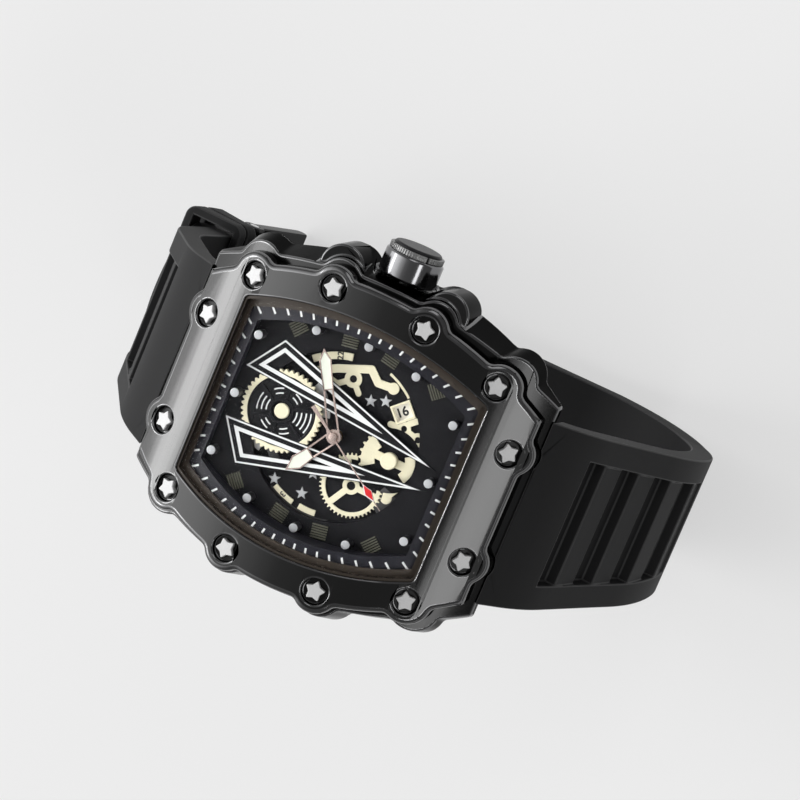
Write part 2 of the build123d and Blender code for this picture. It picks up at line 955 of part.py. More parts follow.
def make_stars():
    low = level(base_depth)
    outline = star(star_radius, star_waist_share, 90)
    return [prism(Pos(x, y) * outline, low, low + star_thickness) for x, y in star_places]


def make_date_window():
    outer = Rectangle(
        date_window_length + 2 * date_frame_line,
        date_window_width + 2 * date_frame_line,
    )
    ring = outer - Rectangle(date_window_length, date_window_width)
    low = level(base_depth)
    return prism(date_frame() * ring, low, low + date_frame_thickness)


def make_date_disc():
    ring = Circle(disc_outer_radius) - Circle(disc_inner_radius)
    step = 360 / disc_teeth
    notch = Circle((disc_outer_radius - disc_inner_radius) / 8)
    for i in range(disc_teeth):
        x, y = polar(disc_inner_radius, step * i)
        ring -= Pos(x, y) * notch
    return prism(ring, level(disc_depth + disc_thickness), level(disc_depth))


# Hands


def dagger(length, start, width, inset=0):
    """The hand's blade, pointing along +X."""
    half = width / 2 - inset
    tip = length - inset * 2.2
    neck = length - width * 0.95
    low = start + inset
    shoulder = half * 0.82
    points = ((low, -shoulder), (neck, -half), (tip, 0), (neck, half), (low, shoulder))
    return Polygon(*points, align=None)


def hand_outline(length, start, width, bore):
    hand = Circle(hand_hub_radius) + dagger(length, start, width)
    hand -= dagger(length, start, width, hand_line)
    for side in (1, -1):
        legs = Polygon(
            (0, side * hand_hub_radius * 0.9),
            (start + hand_line, side * width * 0.41),
            (start + hand_line, side * (width * 0.41 - hand_leg)),
            (0, side * (hand_hub_radius * 0.9 - hand_leg)),
            align=None,
        )
        hand += legs
    return hand - Circle(bore)


def make_hand(length, start, width, bore, depth, angle):
    outline = Rot(0, 0, angle) * hand_outline(length, start, width, bore)
    return prism(outline, level(depth + hand_thickness), level(depth))


def make_lume(length, start, width, depth, angle):
    outline = Rot(0, 0, angle) * dagger(length, start, width, hand_line)
    return prism(outline, level(depth + hand_thickness), level(depth) - mark_rim)


def second_outline():
    hand = Circle(second_hub_radius)
    hand += Polygon(
        (0, -second_width / 2),
        (second_length, -second_width / 4),
        (second_length, second_width / 4),
        (0, second_width / 2),
        align=None,
    )
    hand += Polygon(
        (0, -second_width / 2),
        (-second_tail, -second_tail_width / 2),
        (-second_tail, second_tail_width / 2),
        (0, second_width / 2),
        align=None,
    )
    return hand


def diamond_outline():
    middle = diamond_start + diamond_length / 2
    return Polygon(
        (diamond_start, 0),
        (middle, -diamond_width / 2),
        (diamond_start + diamond_length, 0),
        (middle, diamond_width / 2),
        align=None,
    )


def make_second_hand():
    outline = second_outline() + diamond_outline()
    hand = prism(
        Rot(0, 0, second_angle) * outline,
        level(second_hand_depth + second_thickness),
        level(second_hand_depth),
    )
    cap = disc(0, 0, second_hub_radius, level(second_hand_depth) + second_thickness, 2 * second_thickness)
    diamond = offset(diamond_outline(), -hand_line / 2, kind=Kind.INTERSECTION)
    top = level(second_hand_depth)
    hand += prism(Rot(0, 0, second_angle) * diamond, top, top + mark_rim)
    return hand + cap - disc(0, 0, seconds_arbor_radius, level(second_hand_depth), 2 * second_thickness)


# Motion work


def make_cannon():
    top = level(minute_hand_depth)
    bottom = level(centre_wheel_depth) + fit_clearance
    tube = disc(0, 0, cannon_radius, top, top - bottom)
    pinion = toothed(cannon_pinion_radius, cannon_pinion_teeth, motion_tooth)
    tube += prism(pinion, level(minute_wheel_depth + wheel_thickness), level(minute_wheel_depth))
    return tube - disc(0, 0, cannon_bore_radius, top, top - bottom)


def make_hour_wheel():
    top = level(hour_hand_depth)
    low = level(hour_wheel_depth + wheel_thickness)
    wheel = prism(toothed(hour_wheel_radius, hour_wheel_teeth, motion_tooth), low, low + wheel_thickness)
    wheel += disc(0, 0, hour_tube_radius, top, top - low)
    return wheel - disc(0, 0, hour_bore_radius, top, top - low)


def make_minute_wheel():
    wheel_low = level(minute_wheel_depth + wheel_thickness)
    wheel = prism(
        toothed(minute_wheel_radius, minute_wheel_teeth, motion_tooth), wheel_low, wheel_low + wheel_thickness
    )
    high = level(hour_wheel_depth)
    wheel += prism(toothed(minute_pinion_radius, minute_pinion_teeth, motion_tooth), wheel_low, high)
    wheel -= disc(0, 0, post_radius + fit_clearance, high, high - wheel_low)
    return Pos(motion_distance, 0) * wheel


def driver_place():
    return polar(driver_distance, driver_angle)


def make_date_driver():
    low = level(hour_wheel_depth + wheel_thickness)
    wheel = prism(toothed(driver_radius, driver_teeth, motion_tooth), low, low + wheel_thickness)
    wheel -= disc(0, 0, post_radius + fit_clearance, low + wheel_thickness, wheel_thickness)
    return Pos(*driver_place()) * wheel


def setting_window():
    start = motion_distance + minute_wheel_radius + 2 * motion_gap
    return start, start + 2 * stem_radius + 4 * motion_gap


def make_setting_pinion():
    start, end = setting_window()
    length = end - start - 2 * motion_gap
    pinion = toothed(cannon_pinion_radius * 0.95, cannon_pinion_teeth, motion_tooth)
    body = extrude(Plane.YZ * pinion, length)
    hole = stem_square + 2 * fit_clearance
    body -= Pos(length / 2, 0, 0) * Box(2 * length, hole, hole)
    return Pos(start + motion_gap, 0, crown_z) * body


def make_main_plate():
    low = level(plate_depth + plate_thickness)
    top = level(plate_depth)
    plate = prism(Circle(movement_radius), low, top)
    floor = level(motion_recess_floor)
    recess = Circle(hour_wheel_radius + motion_gap)
    recess += Pos(motion_distance, 0) * Circle(minute_wheel_radius + motion_gap)
    plate -= prism(recess, floor, top)
    plate += disc(motion_distance, 0, post_radius, level(hour_wheel_depth), level(hour_wheel_depth) - floor)
    x, y = driver_place()
    plate -= disc(x, y, driver_radius + motion_gap, top, 2 * motion_gap)
    plate += disc(x, y, post_radius, level(hour_wheel_depth), level(hour_wheel_depth) - low)
    plate -= disc(0, 0, cannon_radius + fit_clearance, top, plate_thickness)
    start, end = setting_window()
    window = Pos((start + end) / 2, 0) * Rectangle(end - start, 2 * cannon_pinion_radius + 4 * motion_gap)
    plate -= prism(window, low, top)
    inner = stem_square_ends()[0] - motion_gap
    plate -= crown_cylinder(hypot(stem_square, stem_square) / 2 + fit_clearance, inner, start - inner)
    return plate - crown_cylinder(stem_radius + fit_clearance, start, movement_radius)


# Going train


def arbor(x, y, wheels, low, high):
    """An arbor with its wheels, each given as radius, teeth, depth of its upper face and length."""
    body = disc(x, y, post_radius, high, high - low)
    for radius, teeth, depth, length in wheels:
        outline = Pos(x, y) * toothed(radius, teeth, train_tooth)
        body += prism(outline, level(depth) - length, level(depth))
    return body


def third_place():
    return polar(third_distance, third_angle)


def middle_place():
    return polar(middle_distance, middle_angle)


def rotor_place():
    x, y = middle_place()
    dx, dy = polar(rotor_distance, rotor_angle)
    return x + dx, y + dy


def make_centre_wheel():
    top = level(centre_wheel_depth)
    wheel = prism(toothed(centre_wheel_radius, 64, train_tooth), top - wheel_thickness, top)
    return wheel - disc(0, 0, seconds_arbor_radius + fit_clearance, top, wheel_thickness)


def make_third_wheel():
    x, y = third_place()
    wheels = (
        (third_pinion_radius, pinion_teeth, centre_wheel_depth, third_wheel_depth - centre_wheel_depth),
        (third_wheel_radius, 60, third_wheel_depth, wheel_thickness),
    )
    low = level(bridge_depth + bridge_thickness)
    return arbor(x, y, wheels, low, level(plate_depth + plate_thickness) + wheel_thickness)


def make_seconds_wheel():
    pinion = toothed(seconds_pinion_radius, pinion_teeth, train_tooth)
    wheel_top = level(seconds_wheel_depth)
    low = level(bridge_depth + bridge_thickness)
    top = level(second_hand_depth)
    body = disc(0, 0, seconds_arbor_radius, top, top - low)
    body += prism(pinion, wheel_top, level(third_wheel_depth))
    return body + prism(toothed(seconds_wheel_radius, 60, train_tooth), wheel_top - wheel_thickness, wheel_top)


def make_middle_wheel():
    x, y = middle_place()
    wheels = (
        (middle_pinion_radius, pinion_teeth, seconds_wheel_depth, middle_wheel_depth - seconds_wheel_depth),
        (middle_wheel_radius, 48, middle_wheel_depth, wheel_thickness),
    )
    low = level(bridge_depth + bridge_thickness)
    return arbor(x, y, wheels, low, level(plate_depth + plate_thickness) + wheel_thickness)


def make_rotor():
    x, y = rotor_place()
    low = level(bridge_depth + bridge_thickness)
    high = level(plate_depth + plate_thickness) + wheel_thickness
    wheels = ((rotor_pinion_radius, pinion_teeth, middle_wheel_depth, wheel_thickness),)
    magnet_top = level(third_wheel_depth)
    return arbor(x, y, wheels, low, high) + disc(x, y, rotor_radius, magnet_top, rotor_length)


def train_pivots():
    return [(0, 0), third_place(), middle_place(), rotor_place()]


def make_bridge():
    top = level(bridge_depth)
    low = top - bridge_thickness
    outline = Circle(bridge_half_width)
    feet = [polar(bridge_half_width + bridge_foot_radius, angle) for angle in bridge_foot_angles]
    for x, y in feet:
        outline += Pos(x, y) * Circle(1.6 * bridge_foot_radius)
    outline -= Pos(*battery_place) * Circle(battery_radius + clip_thickness)
    bridge = prism(outline, low, top)
    for x, y in feet:
        foot = level(plate_depth + plate_thickness)
        bridge += disc(x, y, bridge_foot_radius, foot, foot - top)
    for x, y in train_pivots():
        bridge -= disc(x, y, post_radius + fit_clearance, top, bridge_thickness)
    return bridge


def plate_pivot_holes():
    low = level(plate_depth + plate_thickness)
    depth = 2 * wheel_thickness
    return [disc(x, y, post_radius + fit_clearance, low + depth, depth) for x, y in train_pivots()[1:]]


# Electric parts


def make_battery():
    x, y = battery_place
    top = level(plate_depth + plate_thickness)
    cell = disc(x, y, battery_radius, top, battery_height)
    return chamfer(cell.faces().sort_by(Axis.Z)[0].edges(), clip_thickness)


def make_battery_clip():
    x, y = battery_place
    top = level(plate_depth + plate_thickness) - battery_height
    strip = Pos(x, y) * Rot(0, 0, 30) * Rectangle(2 * battery_radius + 2 * clip_width, clip_width)
    clip = prism(strip, top - clip_thickness, top)
    for end in (1, -1):
        foot = Pos(x, y) * Rot(0, 0, 30) * Pos(end * (battery_radius + clip_width * 0.75), 0)
        clip += prism(foot * Rectangle(clip_width / 2, clip_width), top, top + battery_height)
    return clip


def coil_frame():
    depth = third_wheel_depth + stator_thickness + coil_radius / 2
    return Pos(coil_place[0], coil_place[1], level(depth)) * Rot(0, 0, coil_angle)


def make_coil():
    flange_length = coil_length / 10
    coil = Rot(0, 90, 0) * Cylinder(coil_radius * 0.9, coil_length)
    for end in (1, -1):
        place = Pos(end * (coil_length - flange_length) / 2, 0, 0)
        coil += place * Rot(0, 90, 0) * Cylinder(coil_radius, flange_length)
    coil += Rot(0, 90, 0) * Cylinder(core_radius, core_length)
    return coil_frame() * coil


def make_stator():
    x, y = rotor_place()
    frame = Pos(x, y) * Rot(0, 0, coil_angle)
    plate = frame * Rectangle(core_length * 0.5, stator_width)
    plate -= Pos(x, y) * Circle(rotor_radius + train_gap * 2)
    top = level(third_wheel_depth)
    return prism(plate, top - stator_thickness, top)


def make_circuit():
    board = arc_slot(circuit_inner_radius, circuit_outer_radius, circuit_start, circuit_arc)
    top = level(plate_depth + plate_thickness)
    return prism(board, top - circuit_thickness, top)


def make_holder():
    low = level(case_depth)
    outer = opening(holder_clearance)
    ring = prism(outer - Circle(movement_radius), low, level(plate_depth))
    ring += prism(outer - Circle(base_radius), level(plate_depth), level(dial_depth + dial_thickness))
    return ring - crown_cylinder(tube_radius, 0, 2 * opening_half_width)


# Strap


def mirror_y(shape):
    return mirror(shape, about=Plane.XZ)


def strap_run(reach):
    """The strap's outer line from the loop's side up into the case, seen along the crown.

    Gives its lean, the flank's centre and radius, the upper end of the flank and the shoulder's
    centre, so that a loop of any reach meets the case at the same root."""
    turn = radians(shoulder_turn)
    rise = straight_length + shoulder_radius * sin(turn) + root_length * cos(turn)
    side = shoulder_radius * (1 - cos(turn)) + root_length * sin(turn)
    inward = reach - side - (rim_half_length - root_sink)
    half = inward / (level(root_depth) - corner_radius + rise)
    lean = 2 * atan(half)
    radius = (inward * (1 + half**2) - 2 * half * rise) / (2 * half**2) + side
    start = (reach - radius * (1 - cos(lean)), corner_radius + radius * sin(lean))
    dy, dz = -sin(lean), cos(lean)
    shoulder = (
        start[0] + dy * straight_length - dz * shoulder_radius,
        start[1] + dz * straight_length + dy * shoulder_radius,
    )
    return degrees(lean), (reach - radius, corner_radius), radius, start, shoulder


def short_run():
    """The short strap's line: it leaves the loop's line early and dives inside the tail."""
    lean, centre, radius, start, shoulder = strap_run(strap_reach)
    dy, dz = -sin(radians(lean)), cos(radians(lean))
    rise = short_flank_radius * (1 - cos(radians(lean)))
    along = (short_reach - rise - start[0]) / dy
    turn_z = start[1] + dz * along - short_flank_radius * sin(radians(lean))
    return lean, (short_reach - short_flank_radius, turn_z), short_flank_radius, start, shoulder


def upper_path(inset, run):
    """The line from the flank up into the case, drawn in by inset, and its upper end."""
    lean, flank_centre, flank_radius, start, shoulder = run
    radius = shoulder_radius - inset
    low = flank_radius - inset
    turn = lean + shoulder_turn
    flank_end = polar_from(flank_centre, low, lean)
    shoulder_low = polar_from(shoulder, radius, lean)
    top = polar_from(shoulder, radius, turn)
    end = (top[0] - root_length * sin(radians(turn)), top[1] + root_length * cos(radians(turn)))
    return [
        CenterArc(flank_centre, low, 0, lean),
        Line(flank_end, shoulder_low),
        CenterArc(shoulder, radius, lean, shoulder_turn),
        Line(top, end),
    ], end


def polar_from(centre, distance, angle):
    x, y = polar(distance, angle)
    return centre[0] + x, centre[1] + y


def side_solid(edges, half_width):
    """A closed outline in the plane across the dial, seen along the crown, as wide as the strap."""
    return extrude(Plane.YZ * make_face(edges), half_width, both=True)


def taper_solid(inset):
    """The strap's width at every height, drawn in by inset."""
    root = (strap_root_half_width - inset, level(case_depth / 2))
    middle = (strap_mid_half_width - inset, strap_mid_height)
    low = (strap_low_half_width - inset, strap_low_height)
    edges = []
    for side in (1, -1):
        edges.append(
            ThreePointArc((side * root[0], root[1]), (side * middle[0], middle[1]), (side * low[0], low[1]))
        )
        edges.append(Line((side * low[0], low[1]), (side * low[0], -overrun)))
    edges.append(Line((root[0], root[1]), (-root[0], root[1])))
    edges.append(Line((low[0], -overrun), (-low[0], -overrun)))
    return extrude(Plane.XZ * make_face(edges), strap_reach + overrun, both=True)


def path_point(along, out, run):
    """A point beside the strap's outer face, measured down it from the shoulder's top."""
    lean, flank_centre, flank_radius, start, shoulder = run
    bend = shoulder_radius * radians(shoulder_turn)
    if along < bend:
        angle = lean + shoulder_turn - degrees(along / shoulder_radius)
        return polar_from(shoulder, shoulder_radius + out, angle)
    high = polar_from(shoulder, shoulder_radius + out, lean)
    low = polar_from(flank_centre, flank_radius + out, lean)
    run_length = hypot(high[0] - low[0], high[1] - low[1])
    along -= bend
    if along < run_length:
        share = along / run_length
        return high[0] + (low[0] - high[0]) * share, high[1] + (low[1] - high[1]) * share
    bend_low = flank_radius * radians(lean)
    if along < run_length + bend_low:
        return polar_from(flank_centre, flank_radius + out, lean - degrees((along - run_length) / flank_radius))
    return flank_centre[0] + flank_radius + out, flank_centre[1] - (along - run_length - bend_low)


def louvres(run, panel_start):
    """One panel's grooves: each drops steeply, rises to a ridge and then falls away gently."""
    cutters = None
    wall = louvre_pitch * louvre_wall_share
    groove = louvre_pitch * louvre_groove_share
    for i in range(louvre_count):
        start = panel_start + i * louvre_pitch
        profile = (
            (start, 0 if i == 0 else -louvre_fall),
            (start + wall, -louvre_depth),
            (start + groove - wall, -louvre_depth),
            (start + groove, 0),
            (start + louvre_pitch, -louvre_fall),
            (start + louvre_pitch, louvre_depth),
            (start + groove, louvre_depth),
            (start, louvre_depth),
        )
        points = [path_point(along, out, run) for along, out in profile]
        cutter = extrude(Plane.YZ * Polygon(*points, align=None), strap_root_half_width, both=True)
        cutters = cutter if cutters is None else cutters + cutter
    return cutters & taper_solid(panel_rail)


def make_long_strap(keep_out):
    run = strap_run(six_reach)
    outer, outer_end = upper_path(0, run)
    inner, inner_end = upper_path(strap_thickness, run)
    inner_radius = corner_radius - tail_thickness
    inner_y = six_reach - strap_thickness - inner_radius
    half = [
        *outer,
        *inner,
        Line(outer_end, inner_end),
        CenterArc((six_corner_y, corner_radius), corner_radius, -90, 90),
        CenterArc((inner_y, corner_radius), inner_radius, -90, 90),
        Line((six_corner_y, 0), (0, 0)),
        Line((0, 0), (0, tail_thickness)),
        Line((0, tail_thickness), (inner_y, tail_thickness)),
    ]
    body = side_solid(half, strap_root_half_width) - louvres(run, six_panel_start)
    body = mirror_y(body & taper_solid(0)) - keep_out
    body += tenon(-1)
    return body + make_tail() - hole_cutters() - pad_surround()


def make_tail():
    """The free end of the long strap, lying over the short strap."""
    tip = tail_tip_height
    inner = corner_radius - tail_thickness
    edges = [
        Line((0, 0), (corner_y, 0)),
        CenterArc((corner_y, corner_radius), corner_radius, -90, 90),
        Line((strap_reach, corner_radius), (strap_reach, tip)),
        Line((strap_reach, tip), (strap_reach - tail_thickness, tip)),
        Line((strap_reach - tail_thickness, tip), (strap_reach - tail_thickness, corner_radius)),
        CenterArc((corner_y, corner_radius), inner, -90, 90),
        Line((corner_y, tail_thickness), (0, tail_thickness)),
        Line((0, tail_thickness), (0, 0)),
    ]
    body = side_solid(edges, strap_low_half_width)
    low = tip - tail_tip_length
    width = strap_low_half_width
    outline = [
        ThreePointArc((width, low), (0, tip), (-width, low)),
        Line((-width, low), (-width, -overrun)),
        Line((-width, -overrun), (width, -overrun)),
        Line((width, -overrun), (width, low)),
    ]
    return body & extrude(Plane.XZ * make_face(outline), 2 * strap_reach, both=True)


def pad_surround():
    """What is cut from under the strap all round the pad it stands on."""
    around = Rectangle(2 * strap_root_half_width, 2 * strap_reach) - Ellipse(pad_half_width, pad_half_length)
    return extrude(Plane.XY.offset(-overrun) * around, overrun + pad_height)


def tail_frame(along):
    """A frame on the tail's outer face, along it from the buckle hole towards the case at 6."""
    hole_angle = buckle_hole_angle()
    reach = radians(hole_angle) * corner_radius
    if along < reach:
        angle = hole_angle - degrees(along / corner_radius)
        y = corner_y + corner_radius * sin(radians(angle))
        z = corner_radius - corner_radius * cos(radians(angle))
        return Pos(0, y, z) * Rot(angle, 0, 0)
    return Pos(0, corner_y - (along - reach), 0)


def buckle_hole_angle():
    middle = short_corner_radius + layer_gap + tail_thickness / 2
    return buckle_bar_angle - degrees((tongue_ring_radius + hole_length / 4 - tongue_hole_shift / 3) / middle)


def hole_cutters():
    slot = SlotOverall(hole_length, hole_width)
    cutters = None
    for i in range(hole_count):
        frame = tail_frame(i * hole_pitch)
        cutter = frame * Pos(0, 0, tail_thickness / 2)
        cutter = cutter * extrude(Rot(0, 0, 90) * slot, tail_thickness, both=True)
        cutters = cutter if cutters is None else cutters + cutter
    return cutters


def bar_place():
    radius = short_corner_radius - eyelet_radius
    angle = radians(buckle_bar_angle)
    return corner_y + radius * sin(angle), corner_radius - radius * cos(angle)


def make_short_strap(keep_out):
    """The short strap, which dives inside the long one's tail and ends in the buckle's eyelet."""
    run = short_run()
    turn_z = run[1][1]
    outer, outer_end = upper_path(0, run)
    inner, inner_end = upper_path(strap_thickness, run)
    turn = 90 - buckle_bar_angle
    thin = short_corner_radius - strap_thickness
    centre = (corner_y, corner_radius)
    edges = [
        *outer,
        *inner,
        Line(outer_end, inner_end),
        Line((short_reach, turn_z), (short_reach, corner_radius)),
        Line((short_reach - strap_thickness, turn_z), (short_reach - strap_thickness, corner_radius)),
        CenterArc(centre, short_corner_radius, -turn, turn),
        CenterArc(centre, thin, -turn, turn),
        Line(polar_from(centre, short_corner_radius, -turn), polar_from(centre, thin, -turn)),
    ]
    body = side_solid(edges, strap_root_half_width) - louvres(run, twelve_panel_start)
    body = (body & taper_solid(0)) - keep_out
    body += tenon(1)
    y, z = bar_place()
    body = body + rod(y, z, eyelet_radius, strap_low_half_width)
    sides = rod(y, z, 2 * eyelet_radius, 2 * strap_low_half_width) - rod(
        y, z, 3 * eyelet_radius, strap_low_half_width
    )
    gap = Pos(0, y, z) * Box(eyelet_gap_width, 4 * eyelet_radius, 3 * eyelet_radius)
    return body - sides - gap - rod(y, z, bar_radius + fit_clearance, 2 * strap_low_half_width)


# Buckle


def cross_place():
    radius = corner_radius + cross_gap + cross_radius
    angle = radians(buckle_cross_angle)
    return corner_y + radius * sin(angle), corner_radius - radius * cos(angle)


def rod(y, z, radius, half_length):
    return Pos(0, y, z) * Rot(0, 90, 0) * Cylinder(radius, 2 * half_length)


def make_buckle_frame():
    by, bz = bar_place()
    cy, cz = cross_place()
    inner = strap_low_half_width + arm_gap
    outer = inner + arm_width
    length = hypot(cy - by, cz - bz)
    lean = degrees(atan2(cz - bz, cy - by))
    bar = Pos((by + cy) / 2, (bz + cz) / 2) * Rot(0, 0, lean) * Rectangle(length, 2 * cross_radius)
    side = Pos(by, bz) * Circle(arm_half_height) + bar + Pos(cy, cz) * Circle(cross_radius)
    arms = extrude(Plane.YZ * side, outer, both=True) - extrude(Plane.YZ * side, inner, both=True)
    frame = arms + rod(cy, cz, cross_radius, outer)
    frame -= rod(by, bz, bar_radius, 2 * outer)
    notch_width = tongue_width + 2 * tongue_clearance
    angle = buckle_cross_angle
    notch = Pos(0, cy, cz) * Rot(angle, 0, 0) * Pos(0, 0, -cross_radius)
    return frame - notch * Box(notch_width, 4 * cross_radius, 2 * tongue_notch)


def make_buckle_pin():
    y, z = bar_place()
    return rod(y, z, bar_radius, strap_low_half_width + arm_gap + arm_width)


def corner_point(radius, angle):
    """A point beside the strap's corner, its angle counted up from straight down."""
    return corner_y + radius * sin(radians(angle)), corner_radius - radius * cos(radians(angle))


def make_tongue():
    """The tongue: a ring on the pin, through the tail's hole, then along it to the cross bar."""
    half = tongue_thickness / 2
    run = corner_radius + 2 * tongue_clearance + half - layer_gap / 5
    over = corner_radius + cross_gap + 2 * cross_radius - tongue_notch + half + layer_gap / 5
    rise = buckle_cross_angle + tongue_rise_turn
    beside = degrees(1.4 * cross_radius / corner_radius)
    points = (
        bar_place(),
        corner_point(run, buckle_hole_angle() - degrees(hole_length / 4 / corner_radius)),
        corner_point(run, rise + beside),
        corner_point(run, rise),
        corner_point(over, buckle_cross_angle + beside),
        corner_point(over, buckle_cross_angle - beside / 4),
    )
    outline = band(points, tongue_thickness) + Pos(*bar_place()) * Circle(tongue_ring_radius)
    body = extrude(Plane.YZ * outline, tongue_width / 2, both=True)
    return body - rod(*bar_place(), bar_radius + fit_clearance, tongue_width)


# Keepers


def make_keeper(start, gap):
    """A rubber loop round both straps where they lie together on the corner."""
    inner = short_corner_radius - strap_thickness - gap
    outer = corner_radius + keeper_gap
    ring = arc_slot(inner - keeper_wall, outer + keeper_wall, start - 90, keeper_sweep)
    shell = extrude(Plane.YZ * ring, keeper_half_width + keeper_wall, both=True)
    shell = fillet(shell.edges().filter_by(GeomType.CIRCLE), keeper_round)
    way = arc_slot(inner, outer, start - 90 - keeper_sweep, 3 * keeper_sweep)
    shell -= extrude(Plane.YZ * way, keeper_half_width, both=True)
    return Pos(0, corner_y, corner_radius) * shell


def main():
    os.makedirs("parts", exist_ok=True)
    envelope = case_envelope()
    keep_out = strap_keep_out()
    save("bezel", make_bezel())
    save("bezel_screws", *make_bezel_screws())
    save("crystal", make_crystal())
    save("crystal_ring", make_crystal_ring())
    save("flange", make_flange())
    save("case_middle", make_case_middle(envelope))
    save("case_back_gasket", make_back_gasket())
    save("case_back", make_case_back())
    save("case_back_screws", *make_back_screws())
    save("strap_screws", *make_strap_screws())
    save("crown", make_crown())
    save("crown_grip_ring", make_grip_ring())
    save("crown_cap", make_crown_cap())
    save("crown_tube", make_crown_tube())
    save("crown_seal", make_crown_seal())
    save("winding_stem", make_stem())
    save("dial_plate", make_dial_plate())
    save("dial_base", make_dial_base())
    save("hour_plots", *make_hour_plots())
    save("arrow_plates", *make_arrow_plates())
    save("arrow_lines", *make_arrow_lines())
    save("barrel_ring", make_barrel_ring())
    save("barrel_cover", make_barrel_cover())
    save("dial_hubs", *make_dial_hubs())
    save("small_dial_wheel", make_small_wheel())
    save("large_dial_wheel", make_large_wheel())
    save("skeleton_bridges", *make_skeleton_bridges())
    save("dial_stars", *make_stars())
    save("date_window", make_date_window())
    save("date_disc", make_date_disc())
    hour = (hour_length, hour_body_start, hour_width)
    minute = (minute_length, minute_body_start, minute_width)
    save("hour_hand", make_hand(*hour, hour_tube_radius, hour_hand_depth, hour_angle))
    save("hour_hand_lume", make_lume(*hour, hour_hand_depth, hour_angle))
    save("minute_hand", make_hand(*minute, cannon_radius, minute_hand_depth, minute_angle))
    save("minute_hand_lume", make_lume(*minute, minute_hand_depth, minute_angle))
    save("second_hand", make_second_hand())
    save("cannon_pinion", make_cannon())
    save("hour_wheel", make_hour_wheel())
    save("minute_wheel", make_minute_wheel())
    save("date_driving_wheel", make_date_driver())
    save("setting_pinion", make_setting_pinion())
    plate = make_main_plate()
    for hole in plate_pivot_holes():
        plate -= hole
    save("main_plate", plate)
    save("centre_wheel", make_centre_wheel())
    save("third_wheel", make_third_wheel())
    save("seconds_wheel", make_seconds_wheel())
    save("middle_wheel", make_middle_wheel())
    save("rotor", make_rotor())
    save("train_bridge", make_bridge())
    save("battery", make_battery())
    save("battery_clip", make_battery_clip())
    save("coil", make_coil())
    save("stator", make_stator())
    save("circuit_board", make_circuit())
    save("movement_holder", make_holder())
    save("long_strap", make_long_strap(keep_out))
    save("short_strap", make_short_strap(keep_out))
    save("buckle_frame", make_buckle_frame())
    save("buckle_pin", make_buckle_pin())
    save("buckle_tongue", make_tongue())
    save("fixed_keeper", make_keeper(fixed_keeper_angle, 0))
    save("sliding_keeper", make_keeper(sliding_keeper_angle, keeper_gap))


main()
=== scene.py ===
from math import cos, pi, radians, sin

import bpy
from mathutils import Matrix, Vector
from mathutils.bvhtree import BVHTree


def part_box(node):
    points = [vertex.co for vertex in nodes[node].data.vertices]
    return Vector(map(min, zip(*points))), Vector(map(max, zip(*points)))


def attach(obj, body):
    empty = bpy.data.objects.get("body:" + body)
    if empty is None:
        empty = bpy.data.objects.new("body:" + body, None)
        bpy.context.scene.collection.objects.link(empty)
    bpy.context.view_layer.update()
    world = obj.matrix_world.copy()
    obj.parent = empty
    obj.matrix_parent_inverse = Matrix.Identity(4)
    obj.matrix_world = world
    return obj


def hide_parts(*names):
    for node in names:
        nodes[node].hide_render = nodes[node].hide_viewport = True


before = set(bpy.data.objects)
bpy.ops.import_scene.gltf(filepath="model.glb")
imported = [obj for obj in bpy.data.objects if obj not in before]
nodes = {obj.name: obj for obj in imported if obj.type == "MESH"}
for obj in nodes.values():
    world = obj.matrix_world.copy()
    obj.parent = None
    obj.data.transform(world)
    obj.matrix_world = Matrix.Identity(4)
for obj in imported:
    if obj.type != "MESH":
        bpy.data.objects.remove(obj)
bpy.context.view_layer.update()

mm = 0.001

# Camera: a long lens half a metre above the dial, seen from between 4 and 5 o'clock,
# with 12 o'clock lying to the left of the picture.
camera_data = bpy.data.cameras.new("camera")
camera_data.lens = 172.0
camera_data.sensor_width = 36.0
camera_data.clip_start = 0.01
camera = bpy.data.objects.new("camera", camera_data)
camera.location = (0.10185, -0.10726, 0.55062)
camera.rotation_euler = (radians(-5.2625), radians(15.0324), radians(-66.7225))
bpy.context.scene.collection.objects.link(camera)
bpy.context.scene.camera = camera
bpy.context.scene.view_settings.view_transform = "Standard"

# Studio: a white table that keeps a faint shadow, in a room that is white to the eye. Polished
# metal mirrors the room as dark, growing bright beyond 12 o'clock. One long soft lamp stands
# beyond 12 o'clock, a weaker one beyond 6 o'clock and a small one over the crown.
world = bpy.data.worlds.new("studio")
bpy.context.scene.world = world
world.use_nodes = True
world_nodes = world.node_tree.nodes
world_links = world.node_tree.links
world_nodes.clear()
world_out = world_nodes.new("ShaderNodeOutputWorld")
room = world_nodes.new("ShaderNodeBackground")
page = world_nodes.new("ShaderNodeBackground")
page.inputs["Color"].default_value = (1, 1, 1, 1)
room_way = world_nodes.new("ShaderNodeTexCoord")
room_side = world_nodes.new("ShaderNodeVectorMath")
room_side.operation = "DOT_PRODUCT"
room_side.inputs[1].default_value = (-0.2, 0.9, 0.38)
room_ramp = world_nodes.new("ShaderNodeValToRGB")
room_power = 3.4
room_steps = ((0.0, 0.22), (0.35, 0.26), (0.58, 0.43), (0.79, 1.35), (0.905, 2.6), (0.99, 3.4))
for step, (share, strength) in enumerate(room_steps):
    if step > 1:
        room_ramp.color_ramp.elements.new(share)
    grey = strength / room_power
    room_ramp.color_ramp.elements[step].position = share
    room_ramp.color_ramp.elements[step].color = (grey, grey, grey, 1)
room.inputs["Strength"].default_value = room_power
room_eye = world_nodes.new("ShaderNodeLightPath")
room_mix = world_nodes.new("ShaderNodeMixShader")
world_links.new(room_way.outputs["Generated"], room_side.inputs[0])
world_links.new(room_side.outputs["Value"], room_ramp.inputs["Fac"])
world_links.new(room_ramp.outputs["Color"], room.inputs["Color"])
world_links.new(room_eye.outputs["Is Camera Ray"], room_mix.inputs["Fac"])
